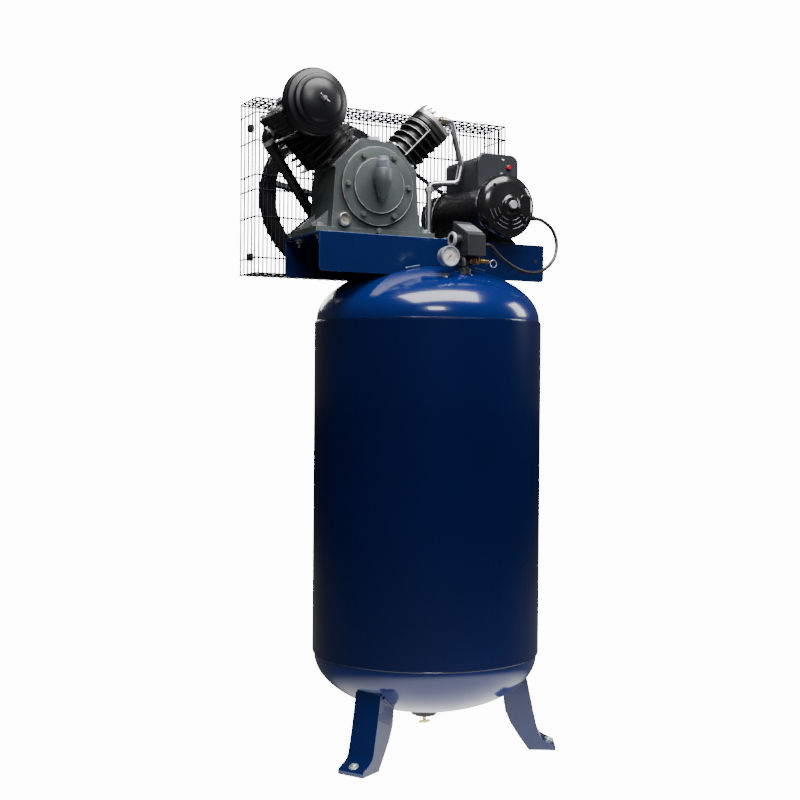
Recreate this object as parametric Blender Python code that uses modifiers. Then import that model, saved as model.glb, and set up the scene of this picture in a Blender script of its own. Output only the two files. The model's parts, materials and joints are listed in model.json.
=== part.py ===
"""Vertical tank air compressor: a two-stage V-twin pump and its motor on top of an upright receiver.

Metres, +Z up, +X along the platform, -Y towards the front of the pump.
The tank's axis is x = y = 0 while the pieces are placed, and an empty then shifts the whole
assembly so that the frame's origin is the centre of its bounding box, on the floor.
"""

import math

import bmesh
import bpy
from mathutils import Matrix, Vector

GAP = 0.0003  # air left between neighbouring pieces

# Receiver: a 24 inch shell with two 2:1 ellipsoidal heads pushed into its ends
SHELL_RADIUS = 0.3048
SHELL_WALL = 0.0045
SHELL_BOTTOM = 0.2605
SHELL_TOP = 1.138
HEAD_RADIUS = SHELL_RADIUS - SHELL_WALL - GAP
HEAD_RISE = 0.152
HEAD_SKIRT = 0.006
HEAD_LAP = 0.020
TOP_HEAD_Z = SHELL_TOP + HEAD_SKIRT
BOTTOM_HEAD_Z = SHELL_BOTTOM - HEAD_SKIRT
TANK_TOP = TOP_HEAD_Z + HEAD_RISE
TANK_BOTTOM = BOTTOM_HEAD_Z - HEAD_RISE
TANK_STEPS = 36
WELD_ROOM = 0.0012  # what a saddle cut keeps from the faceted head

# Legs
LEG_WIDTH = 0.076
LEG_WALL = 0.005
FOOT_TIP = 0.352
LEG_AZIMUTHS = {"leg_left": -150.0, "leg_right": -30.0, "leg_rear": 90.0}

# Platform channel
DECK_LEFT, DECK_RIGHT = -0.371, 0.298
DECK_FRONT, DECK_BACK = -0.1125, 0.113
DECK_BOTTOM, DECK_TOP = 1.255, 1.355
DECK_WALL = 0.006

# Pump
CRANK_X, CRANK_Z = -0.198, 1.481
CASE_FRONT, CASE_BACK = -0.082, 0.058
CASE_WALL = 0.010
BANK_Y = -0.012  # middle of both cylinders
BANK_FOOT = 0.116  # crank axis to cylinder deck
THROW = 0.030
PIN_RADIUS = 0.013
PIN_PATH = THROW + PIN_RADIUS + 0.0015  # each rod stops outside the circle its pin sweeps
JOURNAL_RADIUS = 0.016
ROD_LENGTH = 0.115
COVER_FACE = -0.1005

# Drive
FLYWHEEL_RADIUS = 0.2114
FLYWHEEL_FRONT, FLYWHEEL_BACK = 0.170, 0.206
FLYWHEEL_SPOKES = 7
PULLEY_RADIUS = 0.070
BELT_Y = 0.188
BELT_HALF_WIDTH = 0.0065
BELT_DEPTH = 0.008
GROOVE_DEPTH = 0.0105

# Motor
MOTOR_X, MOTOR_Z = 0.153, 1.448
MOTOR_RADIUS = 0.0735
BELL_RADIUS = 0.0855
MOTOR_FRONT, MOTOR_BACK = -0.120, 0.115
SHAFT_RADIUS = 0.011

# Belt guard basket
GUARD_LEFT, GUARD_RIGHT = -0.437, 0.344
GUARD_FRONT, GUARD_BACK = 0.163, 0.275
GUARD_BOTTOM, GUARD_TOP = 1.266, 1.732
GUARD_COLUMNS = 10
GUARD_WIRE = 0.003

# Pressure switch, gauge and safety valve on one manifold
MANIFOLD_X, MANIFOLD_Y = 0.002, -0.190
PORT_Z = 1.3005
SWITCH_LEFT, SWITCH_RIGHT = -0.008, 0.045
SWITCH_FRONT, SWITCH_BACK = -0.225, -0.145
SWITCH_BOTTOM = 1.3025
GAUGE_X, GAUGE_Y = -0.062, -0.230
GAUGE_RADIUS = 0.0265

# Air filter in front of the large head
FILTER_X, FILTER_Z = -0.3835, 1.672
FILTER_RADIUS = 0.086

# Half way between the interstage tube's left bend and the guard's right edge, and between the
# shell's front and the rear foot's tip
LEFT_REACH = -0.47174
CENTRE_X = (LEFT_REACH + GUARD_RIGHT + GUARD_WIRE / 2) / 2
CENTRE_Y = (FOOT_TIP - SHELL_RADIUS) / 2

PARTS = bpy.data.collections.new("vertical_tank_compressor")
CUTTERS = bpy.data.collections.new("cutters")
COLOURS = {
    "navy_paint": ((0.006, 0.020, 0.085), 0.22, 0.0),
    "cast_green": ((0.090, 0.105, 0.100), 0.50, 0.1),
    "black_paint": ((0.012, 0.012, 0.013), 0.35, 0.1),
    "dark_plastic": ((0.035, 0.036, 0.040), 0.45, 0.0),
    "steel": ((0.560, 0.560, 0.570), 0.30, 1.0),
    "aluminium": ((0.700, 0.700, 0.710), 0.35, 1.0),
    "brass": ((0.660, 0.480, 0.200), 0.30, 1.0),
    "rubber": ((0.015, 0.015, 0.015), 0.60, 0.0),
    "glass": ((0.800, 0.850, 0.850), 0.08, 0.0),
    "red": ((0.600, 0.030, 0.030), 0.40, 0.0),
    "paper": ((0.720, 0.640, 0.480), 0.90, 0.0),
    "dial_white": ((0.850, 0.850, 0.830), 0.40, 0.0),
}


def material(name):
    found = bpy.data.materials.get(name)
    if found:
        return found
    colour, roughness, metallic = COLOURS[name]
    made = bpy.data.materials.new(name)
    made.use_nodes = True
    shader = made.node_tree.nodes["Principled BSDF"]
    shader.inputs["Base Color"].default_value = (*colour, 1.0)
    shader.inputs["Roughness"].default_value = roughness
    shader.inputs["Metallic"].default_value = metallic
    return made


def frame(origin, x, z):
    """A matrix at origin whose local X and Z run along the given directions."""
    z = Vector(z).normalized()
    x = Vector(x).normalized()
    y = z.cross(x)
    turn = Matrix((x, y, z)).transposed().to_4x4()
    return Matrix.Translation(origin) @ turn


def along(origin, direction):
    """A matrix at origin with local Z along direction."""
    turn = Vector((0, 0, 1)).rotation_difference(Vector(direction).normalized())
    return Matrix.Translation(origin) @ turn.to_matrix().to_4x4()


def add(name, data, colour, where=None, smooth=True):
    made = bpy.data.objects.new(name, data)
    PARTS.objects.link(made)
    made.parent = FRAME
    made.matrix_basis = where or Matrix.Identity(4)
    data.materials.append(material(colour))
    if smooth and isinstance(data, bpy.types.Mesh):
        for face in data.polygons:
            face.use_smooth = True
        data.set_sharp_from_angle(angle=math.radians(35))
    return made


def add_mesh(name, solid, colour, where=None, smooth=True):
    bmesh.ops.recalc_face_normals(solid, faces=solid.faces)
    data = bpy.data.meshes.new(name)
    solid.to_mesh(data)
    solid.free()
    return add(name, data, colour, where, smooth)


def box(name, low, high, colour="steel", bevel=0.0):
    low, high = Vector(low), Vector(high)
    solid = bmesh.new()
    bmesh.ops.create_cube(solid, size=1.0)
    bmesh.ops.scale(solid, vec=high - low, verts=solid.verts)
    made = add_mesh(name, solid, colour, Matrix.Translation((low + high) / 2), False)
    if bevel:
        soften(made, bevel)
    return made


def soften(made, width, segments=2):
    bevel = made.modifiers.new("soften", "BEVEL")
    bevel.width = width
    bevel.segments = segments
    bevel.limit_method = "ANGLE"
    bevel.angle_limit = math.radians(50)


def rod(name, start, end, radius, colour="steel", sides=24, end_radius=None):
    start, end = Vector(start), Vector(end)
    solid = bmesh.new()
    bmesh.ops.create_cone(
        solid, cap_ends=True, segments=sides, depth=(end - start).length,
        radius1=radius, radius2=radius if end_radius is None else end_radius,
    )
    return add_mesh(name, solid, colour, along((start + end) / 2, end - start))


def turned(name, profile, origin, axis, colour, steps=32, closed=False):
    """A profile of (radius, height) points, read from the top down its outside, turned about axis."""
    data = bpy.data.meshes.new(name)
    corners = [(radius, 0.0, height) for radius, height in profile]
    edges = [(i, i + 1) for i in range(len(corners) - 1)]
    if closed:
        edges.append((len(corners) - 1, 0))
    data.from_pydata(corners, edges, [])
    made = add(name, data, colour, along(origin, axis), smooth=False)
    screw = made.modifiers.new("turn", "SCREW")
    screw.axis = "Z"
    screw.steps = steps
    screw.render_steps = steps
    screw.use_merge_vertices = True
    screw.merge_threshold = 0.00001
    screw.use_smooth_shade = True
    return made


def ring(name, outer, inner, low, high, origin, axis, colour, steps=32):
    profile = [(outer, high), (outer, low), (inner, low), (inner, high)]
    return turned(name, profile, origin, axis, colour, steps, closed=True)


def prism(name, outline, low, high, where, colour, smooth=True):
    """A flat outline in local X and Y, extruded from low to high along local Z."""
    solid = bmesh.new()
    corners = [solid.verts.new((x, y, low)) for x, y in outline]
    floor = solid.faces.new(corners)
    raised = bmesh.ops.extrude_face_region(solid, geom=[floor])
    lifted = [item for item in raised["geom"] if isinstance(item, bmesh.types.BMVert)]
    bmesh.ops.translate(solid, vec=(0, 0, high - low), verts=lifted)
    return add_mesh(name, solid, colour, where, smooth)


def side_prism(name, outline, front, back, colour, smooth=True):
    """An outline in X and Z, extruded along Y from front to back."""
    where = frame((0, 0, 0), (1, 0, 0), (0, -1, 0))
    return prism(name, outline, -back, -front, where, colour, smooth)


def arc(centre, radius, start, end, steps):
    """Points on a circle from start to end degrees."""
    turns = [math.radians(start + (end - start) * i / steps) for i in range(steps + 1)]
    return [(centre[0] + radius * math.cos(t), centre[1] + radius * math.sin(t)) for t in turns]


def rounded(left, right, bottom, top, radii, steps=4):
    """A rectangle whose corner radii run bottom left, bottom right, top right, top left."""
    corners = [(left, bottom, 1, 1, 180), (right, bottom, -1, 1, 270),
               (right, top, -1, -1, 0), (left, top, 1, -1, 90)]
    outline = []
    for (x, y, inward_x, inward_y, start), radius in zip(corners, radii):
        if radius == 0:
            outline.append((x, y))
            continue
        centre = (x + inward_x * radius, y + inward_y * radius)
        outline += arc(centre, radius, start, start + 90, steps)
    return outline


def combine(target, tool, operation):
    """Cuts the tool away from the target, or joins it on, and puts it with the cutters."""
    change = target.modifiers.new(tool.name, "BOOLEAN")
    change.operation = operation
    change.solver = "EXACT"
    change.object = tool
    for home in list(tool.users_collection):
        home.objects.unlink(tool)
    CUTTERS.objects.link(tool)
    tool.hide_render = True
    tool.display_type = "WIRE"
    return target


def cut(target, *tools):
    for tool in tools:
        combine(target, tool, "DIFFERENCE")
    return target


def join(target, *tools):
    for tool in tools:
        combine(target, tool, "UNION")
    return target


def curve(name, points, radius, colour, resolution=2):
    data = bpy.data.curves.new(name, "CURVE")
    data.dimensions = "3D"
    data.bevel_depth = radius
    data.bevel_resolution = resolution
    data.use_fill_caps = True
    spline = data.splines.new("POLY")
    spline.points.add(len(points) - 1)
    for point, place in zip(spline.points, points):
        point.co = (*place, 1.0)
    return add(name, data, colour)


def bent(corners, radius, steps=5):
    """A pipe's centre line: straight runs through the corners, each corner a bend of this radius."""
    corners = [Vector(corner) for corner in corners]
    line = [corners[0]]
    for before, here, after in zip(corners, corners[1:], corners[2:]):
        back = (before - here).normalized()
        ahead = (after - here).normalized()
        half = back.angle(ahead) / 2
        reach = radius / math.tan(half)
        centre = here + (back + ahead).normalized() * radius / math.sin(half)
        first = here + back * reach - centre
        last = here + ahead * reach - centre
        turn = first.rotation_difference(last)
        for i in range(steps + 1):
            step = turn.copy()
            step.angle = turn.angle * i / steps
            line.append(centre + step @ first)
    line.append(corners[-1])
    return line


def flowing(route, pieces):
    """A smooth line through the route's points, as a soft lead lies."""
    route = [Vector(point) for point in route]
    ends = [route[0] * 2 - route[1], *route, route[-1] * 2 - route[-2]]
    line = []
    for a, b, c, d in zip(ends, ends[1:], ends[2:], ends[3:]):
        for i in range(pieces):
            t = i / pieces
            line.append(((b * 2) + (c - a) * t + (a * 2 - b * 5 + c * 4 - d) * t**2
                         + (b * 3 - a - c * 3 + d) * t**3) / 2)
    line.append(route[-1])
    return line


# ---------------------------------------------------------------- receiver


def ellipse(radius, rise, steps):
    """Points from the crown out to the equator of a dished head."""
    turns = [math.radians(90 * i / steps) for i in range(steps + 1)]
    return [(radius * math.sin(t), rise * math.cos(t)) for t in turns]


def dished_head(name, z, axis):
    outside = ellipse(HEAD_RADIUS, HEAD_RISE, 6)
    inside = ellipse(HEAD_RADIUS - SHELL_WALL, HEAD_RISE - SHELL_WALL, 4)
    lip = -HEAD_SKIRT - HEAD_LAP
    profile = outside + [(HEAD_RADIUS, lip), (HEAD_RADIUS - SHELL_WALL, lip)] + inside[::-1]
    return turned(name, profile, (0, 0, z), axis, "navy_paint", TANK_STEPS)


def head_cutter(name, z):
    solid = bmesh.new()
    bmesh.ops.create_uvsphere(solid, u_segments=TANK_STEPS, v_segments=24, radius=1.0)
    wide = HEAD_RADIUS + WELD_ROOM
    bmesh.ops.scale(solid, vec=(wide, wide, HEAD_RISE + WELD_ROOM), verts=solid.verts)
    return add_mesh(name, solid, "navy_paint", Matrix.Translation((0, 0, z)))


def build_tank():
    ring("tank_shell", SHELL_RADIUS, SHELL_RADIUS - SHELL_WALL, SHELL_BOTTOM, SHELL_TOP,
         (0, 0, 0), (0, 0, 1), "navy_paint", TANK_STEPS)
    top = dished_head("tank_top_head", TOP_HEAD_Z, (0, 0, 1))
    dished_head("tank_bottom_head", BOTTOM_HEAD_Z, (0, 0, -1))
    hole = rod("switch_bung_hole", (MANIFOLD_X, MANIFOLD_Y, 1.20), (MANIFOLD_X, MANIFOLD_Y, 1.30),
               0.0175 + GAP)
    cut(top, hole)
    ring("switch_bung", 0.0175, 0.0108, 1.238, 1.2665, (MANIFOLD_X, MANIFOLD_Y, 0), (0, 0, 1),
         "steel", 24)


def build_leg(name, azimuth):
    outer = [(0.2745, 0.190), (0.292, 0.104), (0.3055, 0.048), (0.3095, 0.038), (0.316, 0.030),
             (0.325, 0.025), (FOOT_TIP - 0.004, 0.0145), (FOOT_TIP, 0.010), (FOOT_TIP, 0.0), (0.280, 0.0),
             (0.254, 0.036), (0.230, 0.073), (0.216, 0.105), (0.208, 0.190)]
    inner = [(0.2695, 0.200), (0.2868, 0.103), (0.3003, 0.046), (0.305, 0.033), (0.314, 0.0235),
             (0.340, 0.010), (0.340, -0.010), (0.190, -0.010), (0.190, 0.200)]
    turn = math.radians(azimuth)
    outward = (math.cos(turn), math.sin(turn), 0)
    across = (math.sin(turn), -math.cos(turn), 0)
    where = frame((0, 0, 0), outward, across)
    half = LEG_WIDTH / 2
    leg = prism(name, outer, -half, half, where, "navy_paint")
    hollow = prism(f"{name}_hollow", inner, -half + LEG_WALL, half - LEG_WALL, where, "navy_paint")
    cut(leg, hollow, head_cutter(f"{name}_saddle", BOTTOM_HEAD_Z))


def build_drain():
    """A big hexagon boss under the bottom head, with a brass petcock screwed into it."""
    boss_top = TANK_BOTTOM - GAP
    boss_bottom = boss_top - 0.0205
    boss = rod("drain_bung", (0, 0, boss_bottom), (0, 0, boss_top), 0.036, "navy_paint", 8)
    cut(boss, rod("drain_bore", (0, 0, boss_bottom - 0.01), (0, 0, boss_top - 0.004), 0.0055 + GAP))
    body = [(0, boss_top - 0.006), (0.0055, boss_top - 0.006), (0.0055, boss_bottom - GAP),
            (0.0085, boss_bottom - GAP), (0.0085, boss_bottom - 0.008),
            (0.005, boss_bottom - 0.010), (0.005, boss_bottom - 0.014), (0, boss_bottom - 0.014)]
    turned("drain_valve_body", body, (0, 0, 0), (0, 0, 1), "brass", 16)
    top = boss_bottom - 0.014 - GAP
    handle = rod("drain_valve_handle", (0, 0, top - 0.009), (0, 0, top), 0.0055, "brass", 16)
    wing = box("drain_wing", (-0.017, -0.0015, top - 0.0085), (0.017, 0.0015, top - 0.001))
    join(handle, wing)


# ---------------------------------------------------------------- platform


def build_platform():
    outline = rounded(DECK_LEFT, DECK_RIGHT, DECK_BOTTOM, DECK_TOP, (0.010, 0.010, 0, 0))
    deck = side_prism("platform", outline, DECK_FRONT, DECK_BACK, "navy_paint", smooth=False)
    inside = box("platform_inside", (DECK_LEFT - 0.01, DECK_FRONT + DECK_WALL, DECK_BOTTOM - 0.01),
                 (DECK_RIGHT + 0.01, DECK_BACK - DECK_WALL, DECK_TOP - DECK_WALL))
    pipe_hole = rod("pipe_hole", (0, 0, 1.33), (0, 0, 1.37), 0.0145)
    lug = box("guard_lug", (-0.060, DECK_BACK - 0.001, 1.300), (0.0, GUARD_FRONT - 0.003, 1.306))
    cut(deck, inside, pipe_hole, head_cutter("platform_saddle", TOP_HEAD_Z))
    join(deck, lug)


# ---------------------------------------------------------------- pump


def bank(side, distance=0.0, u=0.0, y=BANK_Y):
    """A matrix on a cylinder's axis: local Z outwards, local X towards its lower side."""
    slope = math.sqrt(0.5)
    outwards = Vector((side * slope, 0, slope))
    lower = Vector((side * slope, 0, -slope))
    origin = Vector((CRANK_X, y, CRANK_Z)) + outwards * distance + lower * u
    return frame(origin, lower, outwards)


def bank_point(side, distance, u, y):
    return bank(side, distance, u, y).translation


LP, HP = -1, 1
DECK_HALF = {LP: 0.055, HP: 0.048}
BORE_RADIUS = {LP: 0.046, HP: 0.030}


def case_outline(inset=0.0):
    """The crankcase seen from the front: a trapezium with two decks at 45 degrees."""
    foot_half, shoulder_half = 0.126 - inset, 0.116 - inset
    bottom = DECK_TOP + 0.0153 + (inset if inset else 0.0)
    outline = [(CRANK_X - foot_half, bottom), (CRANK_X + foot_half, bottom)]
    deck = BANK_FOOT - inset
    for side in (HP, LP):
        half = DECK_HALF[side] - inset * 0.4
        ends = [bank_point(side, deck, u, 0) for u in (half, -half)]
        ends = ends if side == HP else ends[::-1]
        if side == HP:
            outline.append((CRANK_X + shoulder_half, ends[0].z - 0.006))
        outline += [(end.x, end.z) for end in ends]
        if side == LP:
            outline.append((CRANK_X - shoulder_half, ends[1].z - 0.006))
    return outline


def build_crankcase():
    case = side_prism("crankcase", case_outline(), CASE_FRONT, CASE_BACK, "cast_green")
    base = box("case_base", (CRANK_X - 0.170, CASE_FRONT - 0.003, DECK_TOP + GAP),
               (CRANK_X + 0.170, CASE_BACK + 0.017, DECK_TOP + 0.0155))
    boss = rod("case_boss", (CRANK_X, CASE_BACK - 0.002, CRANK_Z), (CRANK_X, 0.085, CRANK_Z), 0.046)
    join(case, base, boss)
    for side in (-1, 1):
        for y in (-0.045, 0.035):
            inner = CRANK_X + side * 0.118
            outer = CRANK_X + side * 0.166
            foot = DECK_TOP + 0.014
            rib = [(inner, foot), (outer, foot), (outer, foot + 0.008), (inner, foot + 0.050)]
            join(case, side_prism(f"case_rib_{side}_{y}", rib, y - 0.006, y + 0.006, "cast_green"))
    cavity = side_prism("case_cavity", case_outline(CASE_WALL), CASE_FRONT + CASE_WALL,
                        CASE_BACK - CASE_WALL, "cast_green")
    mouth = rod("case_mouth", (CRANK_X, CASE_FRONT - 0.01, CRANK_Z),
                (CRANK_X, CASE_FRONT + 0.02, CRANK_Z), 0.084, sides=40)
    bearing = rod("case_bearing", (CRANK_X, 0.040, CRANK_Z), (CRANK_X, 0.100, CRANK_Z), 0.0353)
    cut(case, cavity, mouth, bearing)
    for side in (LP, HP):
        start = bank_point(side, 0.080, 0, BANK_Y)
        end = bank_point(side, 0.150, 0, BANK_Y)
        cut(case, rod(f"case_bore_{side}", start, end, BORE_RADIUS[side]))


def build_cover():
    """Front bearing cover: a flanged disc, raised in the middle, with the bearing seat behind it."""
    axis = (0, -1, 0)
    origin = (CRANK_X, 0, CRANK_Z)
    rim, face = -CASE_FRONT + 0.0105, -COVER_FACE
    seat = -CASE_FRONT + GAP
    profile = [(0, face), (0.066, face), (0.072, face - 0.004), (0.074, rim), (0.100, rim),
               (0.102, rim - 0.002), (0.102, seat), (0.044, seat), (0.044, 0.060),
               (0.0353, 0.060), (0.0353, seat - 0.002), (0, seat - 0.002)]
    turned("front_cover", profile, origin, axis, "cast_green", 28)
    ring("front_bearing", 0.035, JOURNAL_RADIUS + GAP, 0.061, 0.079, origin, axis, "steel", 24)
    ring("rear_bearing", 0.035, JOURNAL_RADIUS + GAP, -0.083, -0.050, origin, axis, "steel", 24)


def build_breather():
    x, y, top = CRANK_X - 0.004, COVER_FACE - 0.0245, 1.521
    profile = [(0, top), (0.0225, top), (0.0240, top - 0.003), (0.0235, top - 0.030),
               (0.0120, top - 0.072), (0.0070, top - 0.080), (0, top - 0.080)]
    elbow = turned("breather_elbow", profile, (x, y, 0), (0, 0, 1), "cast_green", 24)
    neck = rod("breather_neck", (x, y, 1.492), (x, COVER_FACE - GAP, 1.492), 0.015, sides=20)
    join(elbow, neck)
    cap = [(0, top + 0.031), (0.014, top + 0.031), (0.0165, top + 0.028), (0.0165, top + GAP),
           (0, top + GAP)]
    turned("breather_cap", cap, (x, y, 0), (0, 0, 1), "dark_plastic", 20)


def build_case_fittings():
    glass = [(0, -0.003), (0.0105, -0.003), (0.0125, 0.003), (0.0175, 0.003), (0.0175, -0.009),
             (0, -0.009)]
    turned("sight_glass", glass, (-0.291, CASE_FRONT - 0.0093, 1.3900), (0, -1, 0), "aluminium", 24)
    front = CASE_FRONT - 0.003
    rod("oil_drain_plug", (-0.192, front - 0.0075, 1.3660), (-0.192, front - GAP, 1.3660), 0.0085,
        "brass", 6)


def fin_outline(half_u, half_y, square_side):
    """Half round and half square, as the fins are: the square side faces down and outwards."""
    reach = min(half_u, half_y)
    outline = arc((0, 0), reach, 90, 270, 8)
    outline = [(x * half_u / reach, y * half_y / reach) for x, y in outline]
    outline += [(half_u - 0.006, -half_y), (half_u, -half_y + 0.006)]
    outline += [(half_u, half_y - 0.006), (half_u - 0.006, half_y)]
    return outline if square_side > 0 else [(-x, y) for x, y in outline[::-1]]


CYLINDER = {
    LP: {"name": "low_stage", "top": 0.240, "fin_u": 0.082, "fin_y": 0.070, "barrel": 0.056,
         "fins": 6},
    HP: {"name": "high_stage", "top": 0.236, "fin_u": 0.051, "fin_y": 0.050, "barrel": 0.039,
         "fins": 5},
}
VALVE_PLATE_TOP = 0.2620


def build_cylinder(side):
    size = CYLINDER[side]
    where = bank(side)
    foot = BANK_FOOT + GAP
    half = DECK_HALF[side]
    name = f"{size['name']}_cylinder"
    flange = rounded(-half, half, -half, half, (0.006,) * 4, 1)
    cylinder = prism(name, flange, foot, foot + 0.011, where, "black_paint", smooth=False)
    barrel = rod(f"{name}_barrel", (0, 0, foot + 0.002), (0, 0, size["top"]), size["barrel"])
    barrel.matrix_basis = where @ barrel.matrix_basis
    join(cylinder, barrel)
    outline = fin_outline(size["fin_u"], size["fin_y"], 1)
    first, last = foot + 0.021, size["top"] - 0.0045
    for i in range(size["fins"]):
        height = first + (last - first) * i / (size["fins"] - 1)
        thick = 0.0045 if i == size["fins"] - 1 else 0.0016
        fin = prism(f"{name}_fin_{i}", outline, height - thick, height + thick, where, "black_paint")
        join(cylinder, fin)
    bore = rod(f"{name}_bore", (0, 0, foot - 0.02), (0, 0, size["top"] + 0.02), BORE_RADIUS[side] - 0.004)
    bore.matrix_basis = where @ bore.matrix_basis
    cut(cylinder, bore)


def build_head(side):
    """Valve plate, then a head whose cooling fins stand along the bank's axis."""
    size = CYLINDER[side]
    where = bank(side)
    half_u, half_y = size["fin_u"], size["fin_y"]
    corners = (0.008,) * 4
    block = rounded(-half_u, half_u, -half_y, half_y, corners, 2)
    prism(f"{size['name']}_valve_plate", block, size["top"] + 0.0048, VALVE_PLATE_TOP, where,
          "black_paint", smooth=False)
    base = VALVE_PLATE_TOP + GAP
    roof = base + 0.014
    colour = "black_paint" if side == LP else "aluminium"
    if side == LP:
        head = prism(f"{size['name']}_head", block, base, base + 0.012, where, colour, smooth=False)
        for i, (low, high, top) in enumerate(((-0.078, 0.012, 0.312), (0.020, 0.079, 0.308))):
            chest = rounded(low, high, -half_y + 0.004, half_y - 0.004, (0.008,) * 4, 2)
            join(head, prism(f"{size['name']}_head_chest_{i}", chest, base + 0.010, top, where, colour,
                             smooth=False))
        return head
    block = fin_outline(half_u, half_y - 0.006, 1)
    head = prism(f"{size['name']}_head", block, base, roof, where, colour, smooth=False)
    fins = 8
    for i in range(fins):
        u = -half_u + 0.006 + (2 * half_u - 0.012) * i / (fins - 1)
        reach = (half_y - 0.010) * math.sqrt(max(1 - min(u / half_u, 0) ** 2, 0.16))
        low, high = (u - 0.0015, -reach), (u + 0.0015, reach)
        fin_top = roof + 0.019
        if abs(u - PORT_U[side]) < 0.016:
            continue
        outline = [low, (high[0], low[1]), high, (low[0], high[1])]
        join(head, prism(f"{size['name']}_head_fin_{i}", outline, roof - 0.002, fin_top, where, colour))
    return head


PORT_U = {LP: 1.0, HP: 0.008}  # the discharge port stands among the small head's fins


def build_running_gear():
    """Crankshaft with its pin straight up, two rods side by side on that pin, and the pistons."""
    def on_crank(name, y0, y1, radius, lift=0.0):
        return rod(name, (CRANK_X, y0, CRANK_Z + lift), (CRANK_X, y1, CRANK_Z + lift), radius)

    shaft = on_crank("crankshaft", -0.080, -0.044, JOURNAL_RADIUS)
    rear = on_crank("rear_journal", 0.020, FLYWHEEL_BACK + 0.010, JOURNAL_RADIUS)
    webs = []
    for i, y in enumerate((-0.046, 0.018)):
        cheek = [(CRANK_X + x, CRANK_Z + z) for x, z in arc((0, 0), 0.040, 170, 370, 8)
                 + arc((0, THROW), 0.017, 10, 170, 6)]
        webs.append(side_prism(f"crank_web_{i}", cheek, y, y + 0.008, "steel"))
    pin = on_crank("crankpin", -0.040, 0.020, PIN_RADIUS, THROW)
    join(shaft, webs[0], pin, webs[1], rear)
    for side, y in ((LP, -0.0205), (HP, -0.0035)):
        build_piston(side, y)


def build_piston(side, y):
    size = CYLINDER[side]
    pin_centre = Vector((CRANK_X, y, CRANK_Z + THROW))
    slope = math.sqrt(0.5)
    wrist_distance = THROW * slope + math.sqrt(ROD_LENGTH**2 - (THROW * slope) ** 2)
    wrist = bank_point(side, wrist_distance, 0, y)
    toward = (wrist - pin_centre).normalized()
    flat = frame(pin_centre, toward, (0, -1, 0))
    width = 0.008
    big = ring(f"{size['name']}_rod", 0.0200, PIN_RADIUS + GAP, -width, width, (0, 0, 0), (0, 0, 1),
               "aluminium", 24)
    big.matrix_basis = flat
    shank = [(0.0165, -0.008), (ROD_LENGTH - 0.011, -0.006), (ROD_LENGTH - 0.011, 0.006),
             (0.0165, 0.008)]
    beam = prism(f"{size['name']}_rod_beam", shank, -0.005, 0.005, flat, "aluminium")
    eye = ring(f"{size['name']}_rod_eye", 0.0125, 0.0075 + GAP, -width, width, (0, 0, 0), (0, 0, 1),
               "aluminium", 20)
    eye.matrix_basis = flat @ Matrix.Translation((ROD_LENGTH, 0, 0))
    join(big, beam, eye)
    cut(big, rod(f"{size['name']}_pin_path", (CRANK_X, y - 0.02, CRANK_Z), (CRANK_X, y + 0.02, CRANK_Z),
                 PIN_PATH))
    radius = BORE_RADIUS[side] - 0.0045
    crown = wrist_distance + 0.022
    profile = [(0, crown), (radius, crown), (radius, crown - 0.050), (radius - 0.004, crown - 0.050),
               (radius - 0.004, crown - 0.006), (0, crown - 0.006)]
    piston = turned(f"{size['name']}_piston", profile, (0, 0, 0), (0, 0, 1), "aluminium", 28)
    piston.matrix_basis = bank(side)
    reach = radius - 0.002
    wrist_pin = rod(f"{size['name']}_wrist_pin", (wrist.x, BANK_Y - reach, wrist.z),
                    (wrist.x, BANK_Y + reach, wrist.z), 0.0075, sides=16)
    join(piston, wrist_pin)


# ---------------------------------------------------------------- air filter


def build_filter():
    """A turned canister in front of the large head: back plate, pleated element, ribbed cover."""
    axis = (0, -1, 0)
    origin = (FILTER_X, 0, FILTER_Z)
    r = FILTER_RADIUS
    back = 0.0875
    turned("air_filter_base", base_profile(r, back), origin, axis, "black_paint", 28)
    ring("air_filter_element", r - 0.020, r - 0.042, back + 0.0165, back + 0.039, origin, axis,
         "paper", 24)
    turned("air_filter_cover", cover_profile(r, back), origin, axis, "black_paint", 28, closed=True)
    nut_low = back + 0.0745
    hub = turned("filter_wing_nut", [(0, nut_low + 0.010), (0.004, nut_low + 0.010), (0.006, nut_low),
                                     (0, nut_low)], origin, axis, "steel", 16)
    wings = box("wing_nut_wings", (FILTER_X - 0.015, -nut_low - 0.009, FILTER_Z - 0.0015),
                (FILTER_X + 0.015, -nut_low - 0.002, FILTER_Z + 0.0015))
    join(hub, wings)


def base_profile(r, back):
    """The back pan with its centre stud."""
    return [(0, back + 0.074), (0.003, back + 0.074), (0.003, back + 0.014), (r - 0.004, back + 0.014),
            (r - 0.003, back + 0.018), (r, back + 0.018), (r, back + 0.010), (r - 0.012, back),
            (0, back)]


def cover_profile(r, back):
    """Ridged outside from the nose to the rim, and a plain inside, with a hole for the stud."""
    low = back + 0.0185
    outside = [(0.0035, back + 0.0735), (0.030, back + 0.0705), (0.055, back + 0.058),
               (0.070, back + 0.045), (0.084, back + 0.030), (r, back + 0.027), (r, low)]
    inside = [(r - 0.003, low), (r - 0.003, back + 0.026), (0.064, back + 0.046),
              (0.028, back + 0.0675), (0.0035, back + 0.0705)]
    return outside + inside


# ---------------------------------------------------------------- air lines


OUTLET_Z = 1.6870  # the discharge elbow's side outlet


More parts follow.
